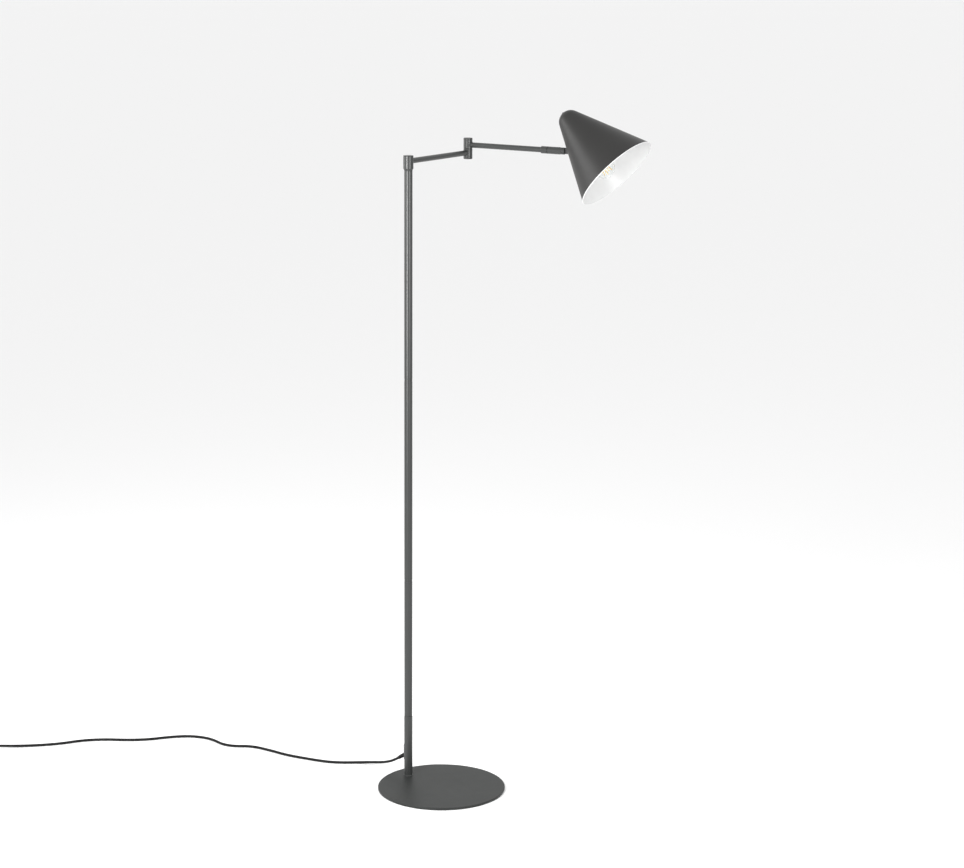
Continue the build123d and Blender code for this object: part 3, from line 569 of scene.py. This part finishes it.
def makeRingTree():
    # a row of equal rings along Z: ribs, threads and grip lines
    tree, given, out = newTree("ringRow", (
        ("Count", "NodeSocketInt", 4), ("Pitch", "NodeSocketFloat", 0.003),
        ("Radius", "NodeSocketFloat", 0.01), ("End Radius", "NodeSocketFloat", 0.01),
        ("Rib", "NodeSocketFloat", 0.001), ("Sides", "NodeSocketInt", 72),
        ("Finish", "NodeSocketMaterial", None)))
    wanted = given.outputs
    row = put(tree, "GeometryNodeMeshLine", {"Count": wanted["Count"], "Start Location": (0, 0, 0)})
    step = put(tree, "ShaderNodeCombineXYZ", {"Z": wanted["Pitch"]})
    tree.links.new(step.outputs[0], row.inputs["Offset"])
    # a ring of unit radius with the rib's section in proportion; each copy on the row sets its own radius
    ribShare = calc(tree, "DIVIDE", wanted["Rib"], wanted["Radius"])
    rib = swept(tree, circle(tree, wanted["Sides"], 1.0), circle(tree, 14, ribShare))
    place = put(tree, "GeometryNodeInstanceOnPoints", {"Points": row.outputs["Mesh"], "Instance": rib})
    index = put(tree, "GeometryNodeInputIndex").outputs[0]
    share = calc(tree, "DIVIDE", index, calc(tree, "SUBTRACT", wanted["Count"], 1.0))
    size = put(tree, "ShaderNodeMapRange", {"Value": share, "To Min": wanted["Radius"],
                                            "To Max": wanted["End Radius"]}).outputs["Result"]
    tree.links.new(size, place.inputs["Scale"])
    smooth = put(tree, "GeometryNodeSetShadeSmooth", {"Geometry": place.outputs[0]})
    solid = put(tree, "GeometryNodeRealizeInstances", {"Geometry": smooth.outputs[0]})
    paint = put(tree, "GeometryNodeSetMaterial", {"Geometry": solid.outputs[0], "Material": wanted["Finish"]})
    tree.links.new(paint.outputs[0], out.inputs[0])
    return tree


ringTree = makeRingTree()


def ringRow(name, place, count, pitch, radius, rib, finish, endRadius=None, sides=72):
    obj = grown(name, ringTree, {"Count": count, "Pitch": pitch, "Radius": radius,
                                 "End Radius": endRadius or radius, "Rib": rib, "Sides": sides,
                                 "Finish": finishes[finish]})
    return moved(obj, place)


print("builders ready")

# foot
foot = dict(edge=0.0016, underEdge=0.0006, padEdge=0.0003, sides=256)


def makeFoot():
    low, high = span("foot_plate", floorFrame)
    rim = (high.x - low.x) / 2
    plate = lathe("footPlate", ((0, low.z, 0), (rim, low.z, foot["underEdge"]), (rim, high.z, foot["edge"]),
                                (0, high.z, 0)), floorFrame, foot["sides"])
    # the foot plate takes the darker copy of the coat: painted shade
    dress(plate, "stand", "footPaintShaded", ["foot_plate"])
    low, high = span("foot_pad", floorFrame)
    rim = (high.x - low.x) / 2
    pad = lathe("footPad", ((0, low.z, 0), (rim, low.z, foot["padEdge"]), (rim, high.z, 0), (0, high.z, 0)),
                floorFrame, foot["sides"])
    dress(pad, "stand", "closedFoam", ["foot_pad"])


makeFoot()
print("foot made")

# pole
pole = dict(bore=0.001, tubeEdge=0.0007, sleeveFoot=0.0002, sleeveEdge=0.0012, couplerEdge=0.0004,
            grommetEdge=0.0005, weldRib=0.0011, weldOut=0.0002, sides=96)


def poleTube(name, node, lowEdge, topEdge):
    low, high = span(node, poleFrame)
    outer, inner = high.x, high.x - pole["bore"]
    tube = lathe(name, ((inner, low.z, 0), (outer, low.z, lowEdge), (outer, high.z, topEdge),
                        (inner, high.z, 0)), poleFrame, pole["sides"])
    return dress(tube, "stand", "graphitePaint", [node])


for name, node in (("lowerTube", "lower_tube"), ("middleTube", "middle_tube"), ("upperTube", "upper_tube")):
    poleTube(name, node, pole["tubeEdge"], pole["tubeEdge"])
poleTube("poleSleeve", "pole_sleeve", pole["sleeveFoot"], pole["sleeveEdge"])
low, high = span("pole_sleeve", poleFrame)
sleeveWeld = ringRow("sleeveWeld", poleFrame @ Matrix.Translation((0, 0, low.z + pole["weldOut"])), 1, 0,
                     high.x + pole["weldOut"], pole["weldRib"], "graphitePaint")
dress(sleeveWeld, "stand", None)
couplers = softened("tube_couplers", "tubeCouplers", pole["couplerEdge"])
dress(couplers, "stand", "graphitePaint", ["tube_couplers"])
grommet = softened("exit_grommet", "exitGrommet", pole["grommetEdge"])
dress(grommet, "stand", "blackPlastic", ["exit_grommet"])
print("pole made")

# hub on the pole
hub = dict(lowChamfer=0.0035, chamferIn=0.002, lowLip=0.002, topLip=0.004, edge=0.0005, capStep=0.0025,
           capEdge=0.0011, seam=0.0001, seamEdge=0.0002)
low, high = span("hub_barrel", poleFrame)
capLow, capHigh = span("hub_cap", poleFrame)
seamAt = high.z
lowRim = high.x - hub["chamferIn"]
hubBarrel = lathe("hubBarrel", ((lowRim - hub["lowLip"], low.z, 0), (lowRim, low.z, hub["edge"]),
                                (high.x, low.z + hub["lowChamfer"], hub["edge"]),
                                (high.x, seamAt, hub["edge"]),
                                (high.x - hub["topLip"], seamAt, 0)), poleFrame)
dress(hubBarrel, "arm_one", "graphitePaint", ["hub_barrel"])
spigot = capHigh.x - hub["capStep"]
hubCap = lathe("hubCap", ((0, capLow.z, 0), (spigot, capLow.z, 0), (spigot, seamAt, 0),
                          (capHigh.x, seamAt + hub["seam"], hub["seamEdge"]),
                          (capHigh.x, capHigh.z, hub["capEdge"]), (0, capHigh.z, 0)), poleFrame)
dress(hubCap, "arm_one", "graphitePaint", ["hub_cap"])
print("hub made")

# arm one and arm two
arm = dict(wall=0.001, edge=0.0002, weldRib=0.001, steps=72)


def armTube(name, node, place, body):
    low, high = span(node, place)
    outer = (high.y - low.y) / 2
    inner = outer - arm["wall"]
    tube = lathe(name, ((inner, low.z, 0), (outer, low.z, arm["edge"]), (outer, high.z, arm["edge"]),
                        (inner, high.z, 0)), place, arm["steps"])
    dress(tube, body, "graphitePaint", [node])
    return outer


def weldLoop(name, tubePlace, tubeRadius, bossPlace, bossRadius, bossSide, body):
    # the weld where a tube meets a round boss: a bead along the line where they cross
    along = tubePlace.to_3x3() @ upWay
    across = along.cross(upWay).normalized()
    centre = Vector((*bossPlace.translation.xy, tubePlace.translation.z))
    curve = bpy.data.curves.new(name, "CURVE")
    curve.dimensions = "3D"
    curve.bevel_depth, curve.bevel_resolution = arm["weldRib"], 3
    loop = curve.splines.new("POLY")
    loop.points.add(arm["steps"] - 1)
    loop.use_cyclic_u = True
    for k, point in enumerate(loop.points):
        turn = 2 * pi * k / arm["steps"]
        side, lift = tubeRadius * cos(turn), tubeRadius * sin(turn)
        reach = bossSide * (bossRadius ** 2 - side ** 2) ** 0.5
        point.co = (*(centre + across * side + upWay * lift + along * reach), 1)
    drawn = bpy.data.objects.new(name, curve)
    scene.collection.objects.link(drawn)
    solid = meshOf(drawn)
    bpy.data.objects.remove(drawn)
    solid.polygons.foreach_set("use_smooth", [True] * len(solid.polygons))
    weld = bpy.data.objects.new(name, solid)
    scene.collection.objects.link(weld)
    return dress(weld, body, "graphitePaint")


armRadius = armTube("armOneTube", "arm_one_tube", armOneFrame, "arm_one")
armTube("armTwoTube", "arm_two_tube", armTwoFrame, "arm_two")
knuckleRadius = span("lower_knuckle", knuckleFrame)[1].x
weldLoop("hubWeld", armOneFrame, armRadius, poleFrame, capHigh.x, 1, "arm_one")
weldLoop("knuckleWeldLow", armOneFrame, armRadius, knuckleFrame, knuckleRadius, -1, "arm_one")
weldLoop("knuckleWeldHigh", armTwoFrame, armRadius, knuckleFrame, knuckleRadius, 1, "arm_two")
print("arms made")

# knuckle: lower half with its cap below, upper half with its cap above
knuckle = dict(edge=0.0005, capEdge=0.0012, seam=0.0001, seamEdge=0.0003, lip=0.003)


def knuckleRound(name, node, body, corners):
    made = lathe(name, corners, knuckleFrame)
    return dress(made, body, "graphitePaint", [node])


def makeKnuckle():
    seam, soft, edge, capEdge = (knuckle[key] for key in ("seam", "seamEdge", "edge", "capEdge"))
    low, high = span("lower_knuckle", knuckleFrame)
    capLow, capHigh = span("lower_knuckle_cap", knuckleFrame)
    rim, lip = high.x, high.x - knuckle["lip"]
    knuckleRound("lowerKnuckle", "lower_knuckle", "arm_one", (
        (lip, low.z, 0), (rim, low.z + seam, soft), (rim, high.z, edge), (lip, high.z, 0)))
    knuckleRound("lowerKnuckleCap", "lower_knuckle_cap", "arm_one", (
        (0, capLow.z, 0), (rim, capLow.z, capEdge), (rim, low.z - seam, soft), (lip, low.z - seam, 0),
        (lip, capHigh.z, 0), (0, capHigh.z, 0)))
    low, high = span("upper_knuckle", knuckleFrame)
    capLow, capHigh = span("upper_knuckle_cap", knuckleFrame)
    rim, lip = high.x, high.x - knuckle["lip"]
    knuckleRound("upperKnuckle", "upper_knuckle", "arm_two", (
        (lip, low.z, 0), (rim, low.z, edge), (rim, high.z - seam, soft), (lip, high.z, 0)))
    knuckleRound("upperKnuckleCap", "upper_knuckle_cap", "arm_two", (
        (0, capLow.z, 0), (lip, capLow.z, 0), (lip, high.z + seam, 0), (rim, high.z + seam, soft),
        (rim, capHigh.z, capEdge), (0, capHigh.z, 0)))


makeKnuckle()
print("knuckle made")

# swivel at the end of arm two
swivel = dict(edge=0.0006, taperIn=0.0012, taperLong=0.0016, taperEdge=0.0004, tubeInset=0.0004,
              boltBore=0.004, sleeveEdge=0.0007, screwEdge=0.0003)
low, high = span("swivel_collar", armTwoFrame)
outer = (high.y - low.y) / 2
collar = lathe("swivelCollar", ((armRadius - swivel["tubeInset"], low.z, 0),
                                (outer - swivel["taperIn"], low.z, swivel["taperEdge"]),
                                (outer, low.z + swivel["taperLong"], swivel["edge"]),
                                (outer, high.z, swivel["edge"]),
                                (swivel["boltBore"], high.z, 0)), armTwoFrame)
dress(collar, "arm_two", "graphitePaint", ["swivel_collar"])
sleeve = softened("swivel_sleeve", "swivelSleeve", swivel["sleeveEdge"])
dress(sleeve, "swivel", "graphitePaint", ["swivel_sleeve"])
tiltScrew = softened("tilt_screw", "tiltScrew", swivel["screwEdge"])
dress(tiltScrew, "swivel", "graphitePaint", ["tilt_screw"])
print("swivel made")

# shade: a cone with a spherical nose, its lining and its rolled hem
# its axis droops from arm two's line and crosses it; the sharp apex lies behind the crossing
shade = dict(droop=43.1, axesCross=0.3388, apexBack=0.1592, halfAngle=23.83, nose=0.026, wall=0.001,
             hem=0.00085, hemSides=16, around=224, along=150, stemEdge=0.0004, steelEdge=0.0003)
droop = radians(shade["droop"])
shadeWay = armTwoWay * cos(droop) + armTwoWay.cross(tiltAxis) * sin(droop)
shadeApex = knuckleSpot + armTwoWay * shade["axesCross"] - shadeWay * shade["apexBack"]
shadeFrame = frameOf(shadeApex, shadeWay, tiltAxis.cross(shadeWay))
mouthAt = span("shade_shell", shadeFrame)[1].z


def makeShadeTree():
    # both skins follow one rule: an arc of the nose, then the straight side, by distance along the profile
    tree, given, out = newTree("shadeSkin", (
        ("Half Angle", "NodeSocketFloat", 0.4), ("Mouth", "NodeSocketFloat", 0.2),
        ("Nose", "NodeSocketFloat", 0.026), ("Wall", "NodeSocketFloat", 0.001),
        ("Hem", "NodeSocketFloat", 0.001), ("Hem Sides", "NodeSocketInt", 16),
        ("Around", "NodeSocketInt", 200), ("Along", "NodeSocketInt", 120),
        ("Outside", "NodeSocketMaterial", None), ("Inside", "NodeSocketMaterial", None)))
    wanted = given.outputs
    angle, nose, wall, mouth = wanted["Half Angle"], wanted["Nose"], wanted["Wall"], wanted["Mouth"]
    sine, cosine = calc(tree, "SINE", angle), calc(tree, "COSINE", angle)
    centre = calc(tree, "DIVIDE", nose, sine)
    arcLong = calc(tree, "MULTIPLY", nose, calc(tree, "SUBTRACT", pi / 2, angle))
    tangent = calc(tree, "SUBTRACT", centre, calc(tree, "MULTIPLY", nose, sine))
    sideLong = calc(tree, "DIVIDE", calc(tree, "SUBTRACT", mouth, tangent), cosine)
    grid = put(tree, "GeometryNodeMeshGrid", {"Size X": 1.0, "Size Y": 1.0, "Vertices X": wanted["Along"],
                                              "Vertices Y": wanted["Around"]})
    spot = put(tree, "ShaderNodeSeparateXYZ", {0: put(tree, "GeometryNodeInputPosition").outputs[0]})
    share = calc(tree, "ADD", spot.outputs["X"], 0.5)
    turn = calc(tree, "MULTIPLY", calc(tree, "ADD", spot.outputs["Y"], 0.5), 2 * pi)
    run = calc(tree, "MULTIPLY", share, calc(tree, "ADD", arcLong, sideLong))
    arcTurn = calc(tree, "DIVIDE", calc(tree, "MINIMUM", run, arcLong), nose)
    straight = calc(tree, "MAXIMUM", calc(tree, "SUBTRACT", run, arcLong), 0.0)

    def skin(ballRadius, flip, finish):
        around = calc(tree, "ADD", calc(tree, "MULTIPLY", ballRadius, calc(tree, "SINE", arcTurn)),
                      calc(tree, "MULTIPLY", straight, sine))
        ballTop = calc(tree, "MULTIPLY", ballRadius, calc(tree, "COSINE", arcTurn))
        height = calc(tree, "ADD", calc(tree, "SUBTRACT", centre, ballTop),
                      calc(tree, "MULTIPLY", straight, cosine))
        place = put(tree, "ShaderNodeCombineXYZ", {
            "X": calc(tree, "MULTIPLY", around, calc(tree, "COSINE", turn)),
            "Y": calc(tree, "MULTIPLY", around, calc(tree, "SINE", turn)), "Z": height}).outputs[0]
        formed = put(tree, "GeometryNodeSetPosition", {"Geometry": grid.outputs[0], "Position": place})
        last = put(tree, "GeometryNodeMergeByDistance", {"Geometry": formed.outputs[0], "Distance": 1e-6})
        if flip:
            last = put(tree, "GeometryNodeFlipFaces", {0: last.outputs[0]})
        return painted(last.outputs[0], finish)

    def painted(shape, finish):
        smooth = put(tree, "GeometryNodeSetShadeSmooth", {"Geometry": shape})
        paint = put(tree, "GeometryNodeSetMaterial", {"Geometry": smooth.outputs[0], "Material": finish})
        return paint.outputs[0]

    outside = skin(nose, True, wanted["Outside"])
    inside = skin(calc(tree, "SUBTRACT", nose, wall), False, wanted["Inside"])
    wallIn = calc(tree, "MULTIPLY", calc(tree, "MULTIPLY", wall, 0.5), cosine)
    mouthRadius = calc(tree, "SUBTRACT", calc(tree, "MULTIPLY", mouth, calc(tree, "TANGENT", angle)), wallIn)
    roll = swept(tree, circle(tree, wanted["Around"], mouthRadius),
                 circle(tree, wanted["Hem Sides"], wanted["Hem"]))
    lift = put(tree, "ShaderNodeCombineXYZ", {"Z": mouth})
    hem = put(tree, "GeometryNodeSetPosition", {"Geometry": roll, "Offset": lift.outputs[0]})
    joined = tree.nodes.new("GeometryNodeJoinGeometry")
    for piece in (outside, inside, painted(hem.outputs[0], wanted["Inside"])):
        tree.links.new(piece, joined.inputs[0])
    solid = put(tree, "GeometryNodeRealizeInstances", {"Geometry": joined.outputs[0]})
    tree.links.new(solid.outputs[0], out.inputs[0])
    return tree


# the lampshade's outside takes the darkest copy of the coat: painted shade
shadeSkin = grown("shadeSkin", makeShadeTree(), {
    "Half Angle": radians(shade["halfAngle"]), "Mouth": mouthAt, "Nose": shade["nose"], "Wall": shade["wall"],
    "Hem": shade["hem"], "Hem Sides": shade["hemSides"], "Around": shade["around"], "Along": shade["along"],
    "Outside": finishes["lampshadePaintShaded"], "Inside": finishes["whiteEnamel"]})
moved(shadeSkin, shadeFrame)
dress(shadeSkin, "head", None, ["shade_shell"])
dress(softened("tilt_stem", "tiltStem", shade["stemEdge"]), "head", "blackPlastic", ["tilt_stem"])
for name, node in (("headNuts", "head_nuts"), ("lampBracket", "lamp_bracket")):
    dress(softened(node, name, shade["steelEdge"]), "head", "zincPlate", [node])
print("shade made")

# lamp holder and bulb
holder = dict(edge=0.0012, nippleBore=0.0051, capTaper=(0.003, 0.004), capFrontEdge=0.0004,
              rearEdge=0.0006, frontEdge=0.0007, rearWall=0.0014, rearChamfer=0.001, wall=0.0013,
              mouthEdge=0.0003, floorEdge=0.0005, floorAt=0.006, floorBore=0.002,
              ribs=7, ribPitch=0.0028, rib=0.0007, ribIn=0.0002)
glassLow, glassHigh = span("bulb_glass", shadeFrame)
bulbMiddle = (glassLow + glassHigh) / 2
bulbFrame = shadeFrame @ Matrix.Translation((bulbMiddle.x, bulbMiddle.y, 0))


def makeHolder():
    low, high = span("holder_cap", bulbFrame)
    taperIn, taperLong = holder["capTaper"]
    bore = holder["nippleBore"]
    cap = lathe("holderCap", ((bore, low.z, 0), (high.x - taperIn, low.z, holder["edge"]),
                              (high.x, low.z + taperLong, holder["edge"]),
                              (high.x, high.z, holder["capFrontEdge"]), (bore, high.z, 0)), bulbFrame)
    dress(cap, "head", "whitePlastic", ["holder_cap"])
    low, high = span("holder_shell", bulbFrame)
    inner, floorAt = high.x - holder["wall"], low.z + holder["floorAt"]
    shell = lathe("holderShell", ((high.x - holder["rearWall"], low.z, 0),
                                  (high.x, low.z + holder["rearChamfer"], holder["rearEdge"]),
                                  (high.x, high.z, holder["frontEdge"]), (inner, high.z, holder["mouthEdge"]),
                                  (inner, floorAt, holder["floorEdge"]), (holder["floorBore"], floorAt, 0)),
                  bulbFrame)
    dress(shell, "head", "whitePlastic", ["holder_shell"])
    ribs = ringRow("holderRibs", bulbFrame @ Matrix.Translation((0, 0, floorAt)), holder["ribs"],
                   holder["ribPitch"], high.x - holder["ribIn"], holder["rib"], "whitePlastic")
    dress(ribs, "head", None)


makeHolder()
print("holder made")

bulb = dict(radius=0.0225, neck=0.0068, neckUp=0.0004, wall=0.0005, ballSteps=30, ballTurn=128, waistSteps=14,
            waistFull=0.6, waistLate=0.25, sides=96,
            threads=5, threadPitch=0.0023, threadRib=0.00075, threadIn=0.0006, threadsBack=0.0145)


def bulbProfile(shrink):
    # the ball's arc, then a waist that eases into the neck
    neckAt = glassLow.z + bulb["neckUp"]
    middle = glassHigh.z - bulb["radius"]
    radius, neck = bulb["radius"] - shrink, bulb["neck"] - shrink
    turns = [radians(bulb["ballTurn"]) * k / bulb["ballSteps"] for k in range(1, bulb["ballSteps"] + 1)]
    points = [(0, middle + radius)] + [(radius * sin(turn), middle + radius * cos(turn)) for turn in turns]
    startRadius, startHeight = points[-1]
    for k in range(1, bulb["waistSteps"] + 1):
        share = k / bulb["waistSteps"]
        width = (1 - share) ** 2 * (1 + share * bulb["waistFull"])
        fall = share * (1 - bulb["waistLate"] + bulb["waistLate"] * share)
        points.append((neck + (startRadius - neck) * width, startHeight + (neckAt - startHeight) * fall))
    return points


def makeBulb():
    low, high = span("bulb_cap", bulbFrame)
    threads = ringRow("bulbThreads", bulbFrame @ Matrix.Translation((0, 0, high.z - bulb["threadsBack"])),
                      bulb["threads"], bulb["threadPitch"], high.x - bulb["threadIn"], bulb["threadRib"],
                      "nickelPlate")
    dress(threads, "head", None)
    skins = bulbProfile(0) + bulbProfile(bulb["wall"])[::-1]
    glassShell = lathe("bulbGlass", [(r, z, 0) for r, z in skins], bulbFrame, bulb["sides"])
    dress(glassShell, "head", "clearGlass", ["bulb_glass"])


makeBulb()
print("bulb made")

# cord: out of the sleeve, over the floor, through the switch, round the coil, to the plug
# places in millimetres, as the CAD part has them
cord = dict(diameter=0.006, exit=(0, 134.028, 39.529), ahead=(0, 152.479, 27.547),
            route=((0, 182, 16.5), (0, 216, 8.5), (-9, 247, 3.05), (-34, 271, 3.05), (-55, 297, 3.05),
                   (-68, 328, 3.05), (-80, 366, 3.05), (-92, 410, 3.05), (-96, 462, 3.05),
                   (-105, 514, 3.05), (-134, 543, 3.05), (-144, 574, 3.05), (-138, 604, 3.05),
                   (-139, 638, 3.05), (-158, 676, 3.05), (-196, 705, 3.05), (-240, 726, 3.05),
                   (-278, 760, 3.05), (-311, 803, 3.05), (-353, 836, 3.05), (-402, 854, 3.05),
                   (-447, 884, 3.05), (-489, 917, 4.2), (-524, 943, 7.4), (-548, 960, 7.5)),
            switchLong=62, switchWay=(-0.816024, 0.578017, 0),
            afterSwitch=((0, 7.5), (15.27, 7.5), (41.93, 4.2)),
            away=(0.342020, -0.939693, 0), left=(0.939693, 0.342020, 0), offReach=13.07,
            afterCoil=((0, 0, 10.2), (20, 0, 8.7), (40, -2, 4.0), (60, -7, 3.05), (84, -9, 6.85),
                       (102, -9, 6.85)),
            smooth=6, round=5)
# turns in degrees about the coil's middle
coil = dict(middle=Vector((-663.1, 999.9, 0)), entry=54.7, leave=1280, wide=37, tight=31, offRadius=34,
            lowLayer=3.15, highLayer=9.4, tightens=(345, 405), climbs=(640, 705), widens=(930, 1060),
            perTurn=30)


def eased(value, start, end):
    share = min(1, max(0, (value - start) / (end - start)))
    return share * share * (3 - 2 * share)


def coilSpot(angle, radius, height):
    turn = radians(angle)
    return coil["middle"] + Vector((radius * cos(turn), radius * sin(turn), height))


def coilPoints():
    # a wide turn on the floor, a tight one inside it, then up and out over the top
    sweep = coil["leave"] - coil["entry"]
    steps = round(sweep / 360 * coil["perTurn"])
    points = []
    for k in range(steps + 1):
        angle = coil["entry"] + sweep * k / steps
        inward = eased(angle, *coil["tightens"]) - eased(angle, *coil["widens"])
        radius = coil["wide"] - (coil["wide"] - coil["tight"]) * inward
        height = coil["lowLayer"] + (coil["highLayer"] - coil["lowLayer"]) * eased(angle, *coil["climbs"])
        points.append(coilSpot(angle, radius, height))
    return points


def cordRoute():
    points = [Vector(cord["exit"]), Vector(cord["ahead"])] + [Vector(p) for p in cord["route"]]
    way = Vector(cord["switchWay"])
    end = Vector((*points[-1].xy, 0)) + way * cord["switchLong"]
    points += [end + way * reach + upWay * height for reach, height in cord["afterSwitch"]]
    points += coilPoints()
    away, left = Vector(cord["away"]), Vector(cord["left"])
    off = coilSpot(coil["leave"], coil["offRadius"], 0) + away * cord["offReach"]
    points += [off + away * reach + left * side + upWay * height for reach, side, height in cord["afterCoil"]]
    return [point / 1000 for point in points]


def makeCord():
    points = cordRoute()
    curve = bpy.data.curves.new("powerCord", "CURVE")
    curve.dimensions = "3D"
    curve.resolution_u = cord["smooth"]
    curve.bevel_depth, curve.bevel_resolution = cord["diameter"] / 2, cord["round"]
    curve.use_fill_caps = True
    spline = curve.splines.new("NURBS")
    spline.points.add(len(points) - 1)
    for spot, point in zip(spline.points, points):
        spot.co = (*point, 1)
    spline.order_u = 3
    spline.use_endpoint_u = True
    spline.use_smooth = True
    obj = bpy.data.objects.new("powerCord", curve)
    scene.collection.objects.link(obj)
    long = sum((b - a).length for a, b in zip(points, points[1:]))
    print("cord route", round(long, 3), "m")
    return obj, long


powerCord, cordLong = makeCord()
dress(powerCord, "stand", "cordJacket", ["mains_cord", "switch_cord", "cord_coil", "plug_cord"])

# cord boot, switch, tie and plug
boot = dict(ribs=5, pitch=0.0036, rib=0.0005, radius=0.0042, endRadius=0.0038, start=-0.0185, sides=40)
cordExit = Vector(cord["exit"]) / 1000
bootFrame = frameOf(cordExit, Vector(cord["ahead"]) - Vector(cord["exit"]), Vector((1, 0, 0)))
bootRibs = ringRow("bootRibs", bootFrame @ Matrix.Translation((0, 0, boot["start"])), boot["ribs"],
                   boot["pitch"], boot["radius"], boot["rib"], "blackPlastic", boot["endRadius"],
                   boot["sides"])
dress(bootRibs, "stand", None)
onCord = [bootRibs, "cord_boot"]
for name, node, finish, slotName, edge, body in (
        ("switchBase", "switch_base", "blackPlastic", "black_plastic", 0.0006, "stand"),
        ("switchCover", "switch_cover", "blackPlastic", "black_plastic", 0.0008, "stand"),
        ("switchRocker", "switch_rocker", "rockerPlastic", "rocker_plastic", 0.0006, "rocker"),
        ("coilTie", "coil_tie", "blackPlastic", "black_plastic", 0.0003, "stand"),
        ("plugBody", "plug_body", "blackPlastic", "black_plastic", 0.0012, "stand")):
    piece = dress(softened(node, name, edge), body, finish, [node])
    onCord.append(piece)
onCord += ["switch_screws", "plug_pins"]
print("cord made")
